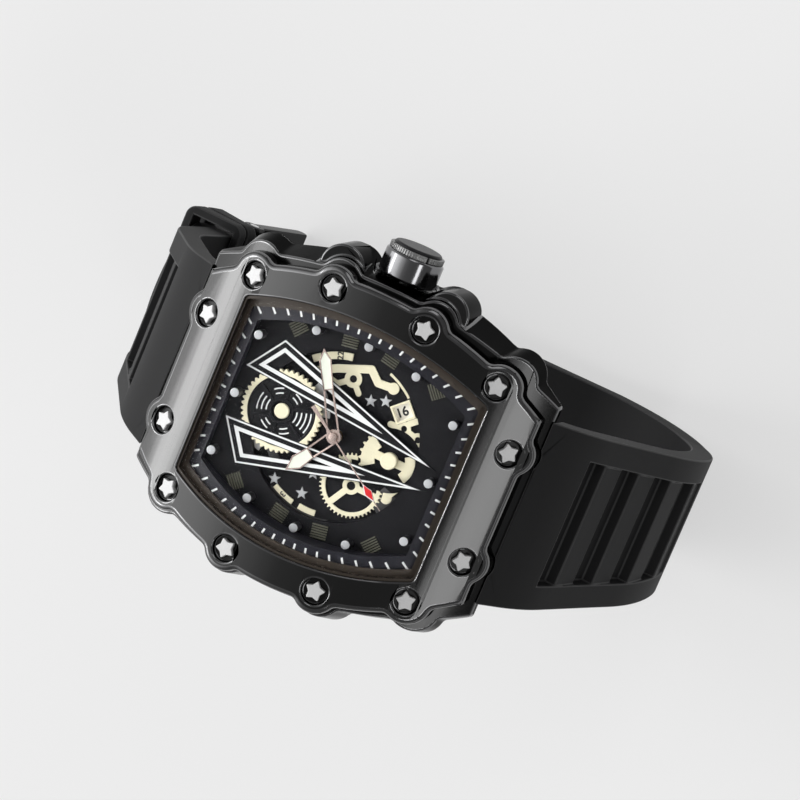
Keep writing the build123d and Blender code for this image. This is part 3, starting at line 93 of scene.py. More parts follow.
world_links.new(room.outputs[0], room_mix.inputs[1])
world_links.new(page.outputs[0], room_mix.inputs[2])
world_links.new(room_mix.outputs[0], world_out.inputs["Surface"])


def lamp(name, place, aim, size, power):
    """A soft rectangular lamp, turned to face what it lights."""
    data = bpy.data.lights.new(name, "AREA")
    data.shape = "RECTANGLE"
    data.size, data.size_y = size
    data.energy = power
    body = bpy.data.objects.new(name, data)
    body.location = place
    body.rotation_euler = (Vector(aim) - Vector(place)).to_track_quat("-Z", "Y").to_euler()
    bpy.context.scene.collection.objects.link(body)


lamp("lamp_twelve", (-0.15, 0.64, 0.385), (0, 0, 0.06), (0.6, 0.11), 1.7)
lamp("lamp_six", (-0.15, -0.5, 0.6), (0, 0, 0.06), (0.5, 0.15), 1.1)
lamp("lamp_crown", (0.55, -0.1, 0.55), (0, 0, 0.05), (0.3, 0.5), 0.7)

table_size, table_drop = 6.0, 0.2 * mm
bpy.ops.object.select_all(action="DESELECT")
bpy.ops.mesh.primitive_plane_add(size=table_size, location=(0, 0, -table_drop))
table = bpy.context.object
table.name = "table"
table_material = bpy.data.materials.new("white_table")
table_material.use_nodes = True
table_nodes = table_material.node_tree.nodes
table_links = table_material.node_tree.links
table_nodes.clear()
table_out = table_nodes.new("ShaderNodeOutputMaterial")
table_paint = table_nodes.new("ShaderNodeBsdfDiffuse")
table_paint.inputs["Color"].default_value = (0.8, 0.8, 0.8, 1)
table_glow = table_nodes.new("ShaderNodeEmission")
table_glow.inputs["Color"].default_value = (0.88, 0.88, 0.88, 1)
table_glow_share = 0.6
table_eye = table_nodes.new("ShaderNodeLightPath")
table_glossy = table_nodes.new("ShaderNodeMath")
table_glossy.operation = "MAXIMUM"
table_through = table_nodes.new("ShaderNodeMath")
table_through.operation = "MAXIMUM"
table_share = table_nodes.new("ShaderNodeMath")
table_share.operation = "MULTIPLY"
table_share.inputs[1].default_value = table_glow_share
table_mix = table_nodes.new("ShaderNodeMixShader")
table_links.new(table_eye.outputs["Is Camera Ray"], table_glossy.inputs[0])
table_links.new(table_eye.outputs["Is Glossy Ray"], table_glossy.inputs[1])
table_links.new(table_glossy.outputs[0], table_through.inputs[0])
table_links.new(table_eye.outputs["Is Transmission Ray"], table_through.inputs[1])
table_links.new(table_through.outputs[0], table_share.inputs[0])
table_links.new(table_share.outputs[0], table_mix.inputs["Fac"])
table_links.new(table_paint.outputs[0], table_mix.inputs[1])
table_links.new(table_glow.outputs[0], table_mix.inputs[2])
table_links.new(table_mix.outputs[0], table_out.inputs["Surface"])
table.data.materials.append(table_material)

# Middle case and back: machined steel with a thin black plating, polished over fine brushing.
# The back is screwed up from below and shuts on a gasket.
play = bpy.data.node_groups.new("surface_play", "ShaderNodeTree")
for socket, kind in (
    ("Vector", "NodeSocketVector"), ("Colour", "NodeSocketColor"), ("Second Colour", "NodeSocketColor"),
    ("Grain", "NodeSocketFloat"), ("Cloud", "NodeSocketFloat"), ("Low Rough", "NodeSocketFloat"),
    ("High Rough", "NodeSocketFloat"),
):
    play.interface.new_socket(socket, in_out="INPUT", socket_type=kind)
for socket, kind in (
    ("Colour", "NodeSocketColor"), ("Roughness", "NodeSocketFloat"), ("Height", "NodeSocketFloat"),
):
    play.interface.new_socket(socket, in_out="OUTPUT", socket_type=kind)
play_in = play.nodes.new("NodeGroupInput")
play_out = play.nodes.new("NodeGroupOutput")
grain_noise = play.nodes.new("ShaderNodeTexNoise")
grain_noise.inputs["Detail"].default_value = 3.0
cloud_noise = play.nodes.new("ShaderNodeTexNoise")
cloud_noise.inputs["Detail"].default_value = 2.0
tint = play.nodes.new("ShaderNodeMix")
tint.data_type = "RGBA"
tint_first, tint_second, tint_result = tint.inputs[6], tint.inputs[7], tint.outputs[2]
both = play.nodes.new("ShaderNodeMix")
both_first, both_second, both_result = both.inputs[2], both.inputs[3], both.outputs[0]
spread = play.nodes.new("ShaderNodeMapRange")
for source, target in (
    (play_in.outputs["Vector"], grain_noise.inputs["Vector"]),
    (play_in.outputs["Vector"], cloud_noise.inputs["Vector"]),
    (play_in.outputs["Grain"], grain_noise.inputs["Scale"]),
    (play_in.outputs["Cloud"], cloud_noise.inputs["Scale"]),
    (grain_noise.outputs["Fac"], both_first), (cloud_noise.outputs["Fac"], both_second),
    (both_result, tint.inputs["Factor"]),
    (play_in.outputs["Colour"], tint_first), (play_in.outputs["Second Colour"], tint_second),
    (tint_result, play_out.inputs["Colour"]), (both_result, spread.inputs["Value"]),
    (play_in.outputs["Low Rough"], spread.inputs["To Min"]),
    (play_in.outputs["High Rough"], spread.inputs["To Max"]),
    (spread.outputs["Result"], play_out.inputs["Roughness"]),
    (grain_noise.outputs["Fac"], play_out.inputs["Height"]),
):
    play.links.new(source, target)


def finish(name, colour, second, rough, metal=0.0, grain=2500.0, cloud=90.0, bump=0.2, depth=0.02,
           stretch=(1, 1, 1), turn=0.0, **own):
    """A material of two close colours with its own grain; own holds values for the shader's sockets."""
    material = bpy.data.materials.new(name)
    material.use_nodes = True
    tree = material.node_tree
    shader = tree.nodes["Principled BSDF"]
    shader.inputs["Metallic"].default_value = metal
    for socket, value in own.items():
        shader.inputs[socket.replace("_", " ")].default_value = value
    coords = tree.nodes.new("ShaderNodeTexCoord")
    mapping = tree.nodes.new("ShaderNodeMapping")
    mapping.inputs["Scale"].default_value = stretch
    mapping.inputs["Rotation"].default_value = (0, 0, radians(turn))
    group = tree.nodes.new("ShaderNodeGroup")
    group.node_tree = play
    group.inputs["Colour"].default_value = (*colour, 1)
    group.inputs["Second Colour"].default_value = (*second, 1)
    group.inputs["Grain"].default_value = grain
    group.inputs["Cloud"].default_value = cloud
    group.inputs["Low Rough"].default_value = rough[0]
    group.inputs["High Rough"].default_value = rough[1]
    relief = tree.nodes.new("ShaderNodeBump")
    relief.inputs["Strength"].default_value = bump
    relief.inputs["Distance"].default_value = depth * mm
    tree.links.new(coords.outputs["Object"], mapping.inputs["Vector"])
    tree.links.new(mapping.outputs[0], group.inputs["Vector"])
    tree.links.new(group.outputs["Colour"], shader.inputs["Base Color"])
    tree.links.new(group.outputs["Roughness"], shader.inputs["Roughness"])
    tree.links.new(group.outputs["Height"], relief.inputs["Height"])
    tree.links.new(relief.outputs[0], shader.inputs["Normal"])
    return material


def dress(material, *names):
    """Give CAD nodes their finish."""
    for name in names:
        node = nodes[name]
        if not node.material_slots:
            node.data.materials.append(material)
        for place in node.material_slots:
            place.link = "OBJECT"
            place.material = material


def fitted(piece, material, body, slot, *replaced):
    """Finish a piece: its material, the body it rides on, its slot, which is not used, and the CAD nodes it
    stands for.
    """
    piece.data.materials.clear()
    piece.data.materials.append(material)
    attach(piece, body)
    if replaced:
        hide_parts(*replaced)
    return piece


def only(piece):
    """Make one object the active one and the only one selected."""
    bpy.ops.object.select_all(action="DESELECT")
    bpy.context.view_layer.objects.active = piece
    piece.select_set(True)


def welded(piece, reach):
    """Merge the points of a piece that lie closer together than reach, in mm."""
    only(piece)
    bpy.ops.object.mode_set(mode="EDIT")
    bpy.ops.mesh.select_all(action="SELECT")
    bpy.ops.mesh.remove_doubles(threshold=reach * mm)
    bpy.ops.object.mode_set(mode="OBJECT")
    return piece


def bevelled(piece, width, rounds=3, edge=-1, hold=False):
    """Wear a piece's sharp edges round and smooth what is nearly flat.

    The width is in mm, and edge is the material of the rounded edges; where one is given, it is painted
    lighter as a highlight. With hold, a point that the rounding throws off the surface is put back on it.
    """
    sharp_angle, smooth_angle = radians(28), radians(32)
    only(piece)
    skin = BVHTree.FromPolygons(
        [vertex.co for vertex in piece.data.vertices], [tuple(face.vertices) for face in piece.data.polygons],
    ) if hold else None
    edge_rounding = piece.modifiers.new("edge_rounding", "BEVEL")
    edge_rounding.width = width * mm
    edge_rounding.segments = rounds
    edge_rounding.limit_method = "ANGLE"
    edge_rounding.angle_limit = sharp_angle
    edge_rounding.use_clamp_overlap = False
    edge_rounding.material = edge
    bpy.ops.object.modifier_apply(modifier="edge_rounding")
    if hold:
        for vertex in piece.data.vertices:
            spot, _, _, away = skin.find_nearest(vertex.co)
            if away > width * mm / 2:
                vertex.co = spot
        welded(piece, 0.001)
    bpy.ops.object.shade_smooth_by_angle(angle=smooth_angle)
    flat = piece.modifiers.new("flat", "WEIGHTED_NORMAL")
    flat.keep_sharp = True
    bpy.ops.object.modifier_apply(modifier="flat")
    return piece


def copied(node, name, flat=0.5):
    """A merged copy of a CAD node's mesh; faces that differ by less than flat degrees become one."""
    piece = bpy.data.objects.new(name, nodes[node].data.copy())
    bpy.context.scene.collection.objects.link(piece)
    only(piece)
    bpy.ops.mesh.customdata_custom_splitnormals_clear()
    bpy.ops.object.mode_set(mode="EDIT")
    bpy.ops.mesh.select_all(action="SELECT")
    bpy.ops.mesh.remove_doubles(threshold=0.001 * mm)
    if flat:
        bpy.ops.mesh.dissolve_limited(angle_limit=radians(flat))
    bpy.ops.object.mode_set(mode="OBJECT")
    return piece


black_plate = finish(
    "black_plated_steel", (0.047, 0.047, 0.047), (0.054, 0.054, 0.054), (0.10, 0.15), metal=1.0,
    grain=4200.0, cloud=60.0, bump=0.03, depth=0.004, Specular_Tint=(0.5, 0.5, 0.5, 1),
)
# Case and back: the bezel's plating painted darker as shade.
case_shaded_plate = finish(
    "black_case_steel_painted_shade", (0.027, 0.027, 0.027), (0.033, 0.033, 0.033), (0.13, 0.2), metal=1.0,
    grain=4200.0, cloud=60.0, bump=0.03, depth=0.004, Specular_Tint=(0.4, 0.4, 0.4, 1),
)
# Rounded edges of case and bezel: a lighter steel, a painted highlight.
edge_highlight_steel = finish(
    "painted_edge_highlight", (0.12, 0.12, 0.122), (0.15, 0.15, 0.152), (0.12, 0.2), metal=1.0, grain=4200.0,
    bump=0.03, depth=0.004,
)
case_body = fitted(copied("case_middle", "case_body"), case_shaded_plate, "case", "dark_steel", "case_middle")
case_body.data.materials.append(edge_highlight_steel)
# The case's rounded edges take the painted highlight.
bevelled(case_body, 0.3, edge=1, hold=True)
fitted(bevelled(copied("case_back", "case_back_plate"), 0.15), case_shaded_plate, "case", "dark_steel", "case_back")

# Seals and small steel parts: black rubber rings under the back and in the crown; polished
# screws for back and strap, the crown's tube, the winding stem and its pinion.
gasket_rubber = finish(
    "gasket_rubber", (0.008, 0.008, 0.009), (0.014, 0.014, 0.015), (0.45, 0.6), grain=3000.0, bump=0.3,
    Specular_IOR_Level=0.2,
)
dress(gasket_rubber, "case_back_gasket", "crown_seal")
polished_steel = finish(
    "polished_steel", (0.5, 0.5, 0.51), (0.6, 0.6, 0.6), (0.14, 0.24), metal=1.0, grain=2600.0, bump=0.1,
)
dress(polished_steel, "case_back_screws", "strap_screws", "crown_tube", "winding_stem", "setting_pinion")

# Bezel: plated like the case and mirror polished, its rounded edges painted brighter as a highlight. The
# floors of the twelve recesses for the screws are painted near-black as shade.
bezel_ring = copied("bezel", "bezel_ring")
fitted(bezel_ring, black_plate, "case", "dark_steel", "bezel")
bezel_ring.data.materials.append(edge_highlight_steel)
bevelled(bezel_ring, 0.28, edge=1)
# Recess floors: a near-black painted shade.
recess_painted_shade = finish(
    "recess_painted_shade", (0.010, 0.010, 0.010), (0.016, 0.016, 0.016), (0.3, 0.42), metal=0.8, grain=3000.0,
    bump=0.2,
)
recess_radius, recess_facing, recess_shade_slot = 1.7 * mm, 0.85, 2
screw_reach_x, screw_reach_y = 21.1, 24.5
screw_centres = [
    Vector((side * x * screw_reach_x * mm, end * y * screw_reach_y * mm))
    for side in (1, -1) for end in (1, -1) for x, y in ((0.895, 0.275), (0.737, 0.735), (0.372, 0.92))
]
bezel_ring.data.materials.append(recess_painted_shade)
# Upward faces inside the recesses take the painted shade.
for face in bezel_ring.data.polygons:
    nearest = min((spot - face.center.xy).length for spot in screw_centres)
    if face.normal.z > recess_facing and nearest < recess_radius:
        face.material_index = recess_shade_slot

# Bezel screws: bright grainy heads cut as five-pointed stars, standing in the round recesses.
# Each star is a little larger than the solid below it.
star_steel = finish(
    "grainy_screw_steel", (0.46, 0.46, 0.46), (0.74, 0.74, 0.74), (0.5, 0.65), metal=0.2, grain=6000.0,
    bump=0.7, depth=0.04, Specular_IOR_Level=0.3,
)
star_screws = copied("bezel_screws", "star_screws")
star_growth = 1.1
for corner in star_screws.data.vertices:
    centre = min(screw_centres, key=lambda spot: (spot - corner.co.xy).length)
    corner.co.xy = centre + (corner.co.xy - centre) * star_growth
fitted(bevelled(star_screws, 0.1), star_steel, "case", "bright_steel", "bezel_screws")

# Crystal: a clear curved pane that hardly bends the light and casts no shadow, glued into a
# dark brown ring.
crystal_glass = bpy.data.materials.new("clear_crystal")
crystal_glass.use_nodes = True
crystal_nodes = crystal_glass.node_tree.nodes
crystal_links = crystal_glass.node_tree.links
glass = crystal_nodes["Principled BSDF"]
glass.inputs["Base Color"].default_value = (1, 1, 1, 1)
glass.inputs["Transmission Weight"].default_value = 1.0
glass.inputs["Roughness"].default_value = 0.0
glass.inputs["IOR"].default_value = 1.06
glass_clear = crystal_nodes.new("ShaderNodeBsdfTransparent")
glass_path = crystal_nodes.new("ShaderNodeLightPath")
glass_mix = crystal_nodes.new("ShaderNodeMixShader")
crystal_links.new(glass_path.outputs["Is Shadow Ray"], glass_mix.inputs["Fac"])
crystal_links.new(glass.outputs[0], glass_mix.inputs[1])
crystal_links.new(glass_clear.outputs[0], glass_mix.inputs[2])
crystal_links.new(glass_mix.outputs[0], crystal_nodes["Material Output"].inputs["Surface"])
dress(crystal_glass, "crystal")
brown_ring = finish(
    "brown_ring", (0.036, 0.029, 0.023), (0.05, 0.04, 0.032), (0.35, 0.5), grain=1800.0, bump=0.2,
    Specular_IOR_Level=0.15,
)
dress(brown_ring, "crystal_ring")

# Flange: a navy-black ring that slopes from the crystal to the dial, with sixty printed white
# minute marks lying on the slope.
flange_paint = finish(
    "flange_paint", (0.012, 0.012, 0.016), (0.018, 0.018, 0.024), (0.4, 0.55), grain=5000.0, bump=0.25,
    Specular_IOR_Level=0.15,
)
dress(flange_paint, "flange")


def block(place):
    """A piece with six sides: a cube of side one about zero, its corners put where place says."""
    bpy.ops.object.select_all(action="DESELECT")
    bpy.ops.mesh.primitive_cube_add(size=1.0)
    piece = bpy.context.object
    for corner in piece.data.vertices:
        corner.co = place(*corner.co)
    return piece


def joined(name, pieces):
    """Several pieces made one."""
    only(pieces[0])
    for piece in pieces:
        piece.select_set(True)
    bpy.ops.object.join()
    bpy.context.object.name = name
    return bpy.context.object


def outward(piece):
    """Turn all faces of a closed piece outward."""
    only(piece)
    bpy.ops.object.mode_set(mode="EDIT")
    bpy.ops.mesh.select_all(action="SELECT")
    bpy.ops.mesh.normals_make_consistent(inside=False)
    bpy.ops.object.mode_set(mode="OBJECT")
    return piece


white_print = finish(
    "white_print", (0.60, 0.62, 0.62), (0.71, 0.72, 0.71), (0.5, 0.7), grain=9000.0, bump=0.4, depth=0.01,
    Specular_IOR_Level=0.2,
)
mark_width, mark_rise = 0.28 * mm, 0.03 * mm
mark_start, mark_end = 0.05, 0.76
probe_start, probe_step, probe_count, probe_height = 10, 0.1, 140, 90 * mm
minute_marks = []
for minute in range(60):
    out = Vector((sin(radians(6 * minute)), cos(radians(6 * minute)), 0))
    slope = []
    for step in range(probe_count):
        way = out * (probe_start + step * probe_step) * mm
        above = way + Vector((0, 0, probe_height))
        seen, place, facing, _ = nodes["flange"].ray_cast(above, Vector((0, 0, -1)))
        if seen:
            slope.append((place.copy(), facing.copy()))
    inner, outer = slope[0][0], slope[-1][0]
    start, end = outer.lerp(inner, mark_start), outer.lerp(inner, mark_end)
    facing = slope[len(slope) // 2][1]
    middle, along = (start + end) / 2, end - start
    across = facing.cross(along).normalized()
    minute_marks.append(block(
        lambda x, y, z: middle + along * x + across * mark_width * y + facing * mark_rise * (z + 0.5)
    ))
minute_track = outward(joined("minute_track", minute_marks))
fitted(bevelled(minute_track, 0.01, rounds=2), white_print, "case", "pale_print")

# Dial plates and arrow bridges: near-black lacquer with a soft shine; white lines are printed
# along the edges of the two arrows.
dial_black = finish(
    "dial_black", (0.005, 0.005, 0.006), (0.009, 0.009, 0.011), (0.35, 0.5), grain=5000.0, bump=0.3,
    Specular_IOR_Level=0.15,
)
dress(dial_black, "dial_plate", "dial_base", "arrow_plates")
dress(white_print, "arrow_lines")

# Hatched blocks on the dial plate: six thin raised bars each, in dark olive-grey lacquer.
# Two places and their turns, in mm and degrees, are mirrored to both sides and both ends.
hatch_olive = finish(
    "hatch_olive", (0.075, 0.075, 0.055), (0.12, 0.12, 0.09), (0.4, 0.55), grain=6000.0, bump=0.3,
    Specular_IOR_Level=0.3,
)
hatch_places = ((12.6, 3.0, 10), (11.3, 10.2, 50))
hatch_count, hatch_pitch, hatch_length, hatch_width = 6, 0.34, 2.2, 0.19 * mm
hatch_low, hatch_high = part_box("arrow_plates")[0].z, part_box("arrow_plates")[1].z + 0.02 * mm


def box_line(start, end, width, low, high):
    """A straight raised line between two points of the dial, in metres."""
    along = (end - start).normalized()
    across = Vector((-along.y, along.x, 0))

    def place(x, y, z):
        spot = start.lerp(end, x + 0.5) + across * width * y
        return spot.x, spot.y, low + (high - low) * (z + 0.5)

    return block(place)


hatch_bars = []
for x, y, turn in hatch_places:
    for side, end in ((1, 1), (1, -1), (-1, 1), (-1, -1)):
        angle = radians(side * end * turn)
        across, along = Vector((cos(angle), sin(angle), 0)), Vector((-sin(angle), cos(angle), 0))
        half = along * hatch_length / 2
        for bar in range(hatch_count):
            middle = Vector((side * x, end * y, 0)) + across * (bar - (hatch_count - 1) / 2) * hatch_pitch
            first, last = (middle - half) * mm, (middle + half) * mm
            hatch_bars.append(box_line(first, last, hatch_width, hatch_low, hatch_high))
hatches = joined("hatch_blocks", hatch_bars)
fitted(bevelled(hatches, 0.02, rounds=2), hatch_olive, "case", "dark_dial")


# Barrel on the dial: a dark turned cover with a raised rim and a seat for the hub, parted by
# six ribs, with groups of white arcs between them. Radii and heights are in mm.
def spun(name, corners, edges, faces, centre, turn, steps):
    """A piece made by turning a section about the upright axis through centre."""
    mesh = bpy.data.meshes.new(name)
    mesh.from_pydata(corners, edges, faces)
    piece = bpy.data.objects.new(name, mesh)
    bpy.context.scene.collection.objects.link(piece)
    only(piece)
    bpy.ops.object.mode_set(mode="EDIT")
    bpy.ops.mesh.select_all(action="SELECT")
    bpy.ops.mesh.spin(steps=steps, angle=turn, center=(*centre, 0), axis=(0, 0, 1))
    bpy.ops.object.mode_set(mode="OBJECT")
    return outward(welded(piece, 0.001))


def turned(name, centre, profile):
    """A round piece, from its half section of radii and heights in mm."""
    corners = [(centre[0] + radius * mm, centre[1], height * mm) for radius, height in profile]
    edges = [(corner, corner + 1) for corner in range(len(corners) - 1)]
    return spun(name, corners, edges, [], centre, 2 * pi, 96)


def arc_line(centre, radius, start, sweep, width, height):
    """A raised line along part of a circle: a curve with a round section, flattened."""
    steps = 14
    curve = bpy.data.curves.new("arc", "CURVE")
    curve.dimensions = "3D"
    curve.bevel_depth = width / 2
    curve.bevel_resolution = 2
    curve.use_fill_caps = True
    run = curve.splines.new("POLY")
    run.points.add(steps)
    for step, point in enumerate(run.points):
        angle = radians(start + sweep * step / steps)
        point.co = (centre.x + radius * cos(angle), centre.y + radius * sin(angle), 0, 1)
    line = bpy.data.objects.new("arc", curve)
    bpy.context.scene.collection.objects.link(line)
    only(line)
    bpy.ops.object.convert(target="MESH")
    line = bpy.context.object
    for corner in line.data.vertices:
        corner.co.z = centre.z + corner.co.z * height / width
    return line


barrel_centre = Vector((0, 8.05 * mm, 0))
barrel_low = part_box("barrel_cover")[0].z / mm
barrel_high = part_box("arrow_plates")[0].z / mm + 0.05
barrel_floor = barrel_high - 0.15
barrel_seat = barrel_floor - 0.2
barrel_pieces = [turned("barrel_disc", barrel_centre.xy, (
    (0, barrel_seat), (1.3, barrel_seat), (1.36, barrel_high), (1.7, barrel_high),
    (1.78, barrel_floor), (4.38, barrel_floor), (4.46, barrel_high), (4.72, barrel_high),
    (4.72, barrel_low), (0, barrel_low),
))]
group_count, group_angle = 6, 60
rib_turn, rib_start, rib_end, rib_width = -61, 1.6 * mm, 4.5 * mm, 0.34 * mm
for rib in range(group_count):
    angle = radians(group_angle * rib + rib_turn)
    way = Vector((cos(angle), sin(angle), 0))
    barrel_pieces.append(box_line(
        barrel_centre + way * rib_start, barrel_centre + way * rib_end, rib_width,
        (barrel_floor - 0.05) * mm, (barrel_high - 0.03) * mm,
    ))
barrel_disc = joined("barrel_disc", barrel_pieces)
fitted(bevelled(barrel_disc, 0.03, rounds=2), dial_black, "case", "dark_dial", "barrel_cover")
arc_turn, arc_width, arc_height = -31, 0.2 * mm, 0.06 * mm
arc_centre = barrel_centre + Vector((0, 0, (barrel_floor + 0.02) * mm))
large_groups, large_radii, large_sweep = (2, 5), (2.15, 2.8, 3.45, 4.1), 40
small_radii, small_sweep = (2.4, 3.05), 26
barrel_arcs = []
for group in range(group_count):
    large = group in large_groups
    sweep = large_sweep if large else small_sweep
    start = group_angle * group + arc_turn - sweep / 2
    for radius in large_radii if large else small_radii:
        barrel_arcs.append(arc_line(arc_centre, radius * mm, start, sweep, arc_width, arc_height))
fitted(joined("barrel_arcs", barrel_arcs), white_print, "case", "pale_print")

# Hour posts and stars: turned grey metal with a fine grain. The tops of the posts are lit, and their sides
# are painted dark as shade.
grey_stud = finish(
    "grey_stud", (0.34, 0.35, 0.36), (0.5, 0.51, 0.52), (0.4, 0.6), metal=0.5, grain=7000.0, bump=0.5,
)
# Sides of the hour posts: a dark painted shade.
stud_side_painted_shade = finish(
    "stud_side_painted_shade", (0.03, 0.03, 0.035), (0.05, 0.05, 0.055), (0.4, 0.55), metal=0.5, grain=7000.0, bump=0.3,
)
side_facing = 0.5
hour_posts = bevelled(copied("hour_plots", "hour_posts"), 0.12)
fitted(hour_posts, grey_stud, "case", "grey_plots", "hour_plots")
hour_posts.data.materials.append(stud_side_painted_shade)
for face in hour_posts.data.polygons:
    if face.normal.z < side_facing:
        face.material_index = 1
fitted(bevelled(copied("dial_stars", "star_studs"), 0.05), grey_stud, "case", "grey_plots", "dial_stars")


# Thin plates on the dial base: two of brushed silver beside the barrel and four of dark
# graphite about the dial's middle. Radii and heights are in mm, starts and sweeps in degrees.
def arc_plate(name, centre, inner, outer, start, sweep, low, high):
    """A flat plate along part of a circle."""
    way = Vector((cos(radians(start)), sin(radians(start)), 0))
    corners = [
        centre + way * radius * mm + Vector((0, 0, height * mm))
        for radius, height in ((inner, low), (outer, low), (outer, high), (inner, high))
    ]
    return spun(name, corners, [], [(0, 1, 2, 3)], centre.xy, radians(sweep), 24)


silver_plate = finish(
    "silver_plate", (0.42, 0.42, 0.42), (0.58, 0.58, 0.57), (0.35, 0.5), metal=0.5, grain=2600.0,
    stretch=(1, 0.06, 1), turn=20, bump=0.5, depth=0.02,
)
silver_high = barrel_low + 0.12
silver_plates = joined("silver_plates", [
    arc_plate("silver_plates", barrel_centre, 5.3, 6.45, start, sweep, barrel_low, silver_high)
    for start, sweep in ((-29, 46), (171, 38))
])
fitted(bevelled(silver_plates, 0.03, rounds=2), silver_plate, "case", "grey_plots")
graphite = finish(
    "graphite_plate", (0.045, 0.045, 0.046), (0.085, 0.085, 0.086), (0.3, 0.45), metal=0.5, grain=2600.0,
    stretch=(1, 0.06, 1), turn=-30, bump=0.5, depth=0.02,
)
graphite_high = barrel_low + 0.1
dial_middle = Vector((0, 0, 0))
graphite_plates = joined("graphite_plates", [
    arc_plate("graphite_plates", dial_middle, inner, outer, start, sweep, barrel_low, graphite_high)
    for inner, outer, start, sweep in (
        (8.6, 9.9, 142, 50), (11.4, 12.1, 196, 46), (9.3, 11.9, 248, 17), (11.4, 12.1, -22, 44),
    )
])
fitted(bevelled(graphite_plates, 0.04, rounds=2), graphite, "case", "dark_dial")

# Toothed ring of the barrel, hubs, wheels, skeleton bridges and date frame: cream-lacquered
# plates, brushed one way. The teeth narrow from root to tip.
cream = finish(
    "cream_brushed", (0.62, 0.58, 0.41), (0.76, 0.72, 0.54), (0.4, 0.55), metal=0.1, grain=2600.0,
    stretch=(1, 0.06, 1), turn=20, bump=0.6, depth=0.02, Specular_IOR_Level=0.25,
)
ring_inner, ring_outer, ring_low, ring_high = 4.75, 5.28, barrel_low + 0.4, barrel_high + 0.01
ring_pieces = [turned("toothed_ring", barrel_centre.xy, (
    (ring_inner, ring_low), (ring_inner, ring_high), (ring_outer, ring_high), (ring_outer, ring_low),
    (ring_inner, ring_low),
))]
tooth_count, tooth_middle, tooth_length, tooth_width, tooth_taper = 46, 5.43, 0.4, 0.44, 0.48
tooth_low, tooth_high = ring_low * mm, (ring_high - 0.01) * mm
for tooth in range(tooth_count):
    angle = 2 * pi * tooth / tooth_count
    way, side = Vector((cos(angle), sin(angle), 0)), Vector((-sin(angle), cos(angle), 0))
    ring_pieces.append(block(
        lambda x, y, z: barrel_centre + way * (tooth_middle + tooth_length * x) * mm
        + side * y * (tooth_width - tooth_taper * x) * mm + Vector((0, 0, tooth_low if z < 0 else tooth_high))
    ))
toothed_ring = joined("toothed_ring", ring_pieces)
fitted(bevelled(toothed_ring, 0.03, rounds=2), cream, "case", "cream_metal", "barrel_ring")
for node, name in (
    ("dial_hubs", "cream_hubs"), ("small_dial_wheel", "small_toothed_wheel"),
    ("large_dial_wheel", "large_toothed_wheel"), ("skeleton_bridges", "cream_bridges"),
    ("date_window", "date_frame"),
):
    fitted(bevelled(copied(node, name), 0.045, rounds=2), cream, "case", "cream_metal", node)

# Date disc: a plain cream face on it carries thirty-one printed numbers, one of them in the
# lined window. They lie along the disc's radii, with the foot of each towards 6 o'clock.
date_cream = finish(
    "date_cream", (0.82, 0.79, 0.70), (0.88, 0.85, 0.76), (0.45, 0.6), grain=7000.0, bump=0.2, depth=0.01,
)
dress(date_cream, "date_disc")
date_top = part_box("date_disc")[1].z
face_inner, face_outer, face_low, face_high = 8.05, 11.2, date_top / mm - 0.1, date_top / mm + 0.04
date_face = turned("date_face", (0, 0), (
    (face_inner, face_high), (face_outer, face_high), (face_outer, face_low), (face_inner, face_low),
    (face_inner, face_high),
))
fitted(date_face, date_cream, "date_disc", "pale_print")
date_radius, date_turn, date_shown, date_count, date_size = 9.37, -46.5, 16, 31, 1.75
window_radius, window_half_length, window_half_width, lining = 9.7 * mm, 1.15 * mm, 1.0 * mm, 0.07 * mm
window_way = Vector((cos(radians(date_turn)), sin(radians(date_turn)), 0))
window_side = Vector((-window_way.y, window_way.x, 0))
window_low, window_high = date_top + 0.1 * mm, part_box("date_window")[0].z + 0.05 * mm
lining_walls = []
for way, side, reach, half in (
    (window_way, window_side, window_half_length, window_half_width),
    (window_side, window_way, window_half_width, window_half_length),
):
    for sign in (1, -1):
        middle = window_way * window_radius + way * sign * (reach - lining / 2)
        start, end = middle - side * half, middle + side * half
        lining_walls.append(box_line(start, end, lining, window_low, window_high))
date_lining = joined("date_lining", lining_walls)
fitted(bevelled(date_lining, 0.01, rounds=2), date_cream, "case", "pale_print")


def printed_number(day, radius, turn, size, floor):
    """A printed number lying on the dial, its line of writing along a radius; only floor is in metres."""
    bpy.ops.object.text_add(location=(0, 0, 0))
    number = bpy.context.object
    number.data.body = str(day)
    number.data.size = size * mm
    number.data.offset = 0.025 * size * mm
    number.data.extrude = 0.015 * mm
    number.data.align_x = "CENTER"
    number.data.align_y = "CENTER"
    only(number)
    bpy.ops.object.convert(target="MESH")
    number = welded(bpy.context.object, 0.0001)
    along = Vector((cos(radians(turn)), sin(radians(turn)), 0))
    up = Vector((-along.y, along.x, 0))
    for corner in number.data.vertices:
        x, y, z = corner.co
        corner.co = along * (radius * mm + x) + up * y + Vector((0, 0, floor + z))
    return number


number_ink = finish(
    "number_ink", (0.006, 0.006, 0.006), (0.012, 0.012, 0.012), (0.4, 0.55), grain=9000.0, bump=0.2,
    depth=0.01,
)
date_floor = date_top + 0.05 * mm
date_numbers = [
    printed_number(day, date_radius, date_turn + (day - date_shown) * 360 / date_count, date_size, date_floor)
    for day in range(1, date_count + 1)
]
fitted(joined("date_numbers", date_numbers), number_ink, "date_disc", "pale_print")
rim_size, rim_floor = 1.15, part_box("skeleton_bridges")[1].z + 0.01 * mm
rim_numbers = [
    printed_number(day, radius, turn, rim_size, rim_floor)
    for day, radius, turn in ((22, 10.7, 20), (23, 10.7, 32), (3, 10.95, 160))
]
fitted(joined("rim_numbers", rim_numbers), number_ink, "case", "pale_print")

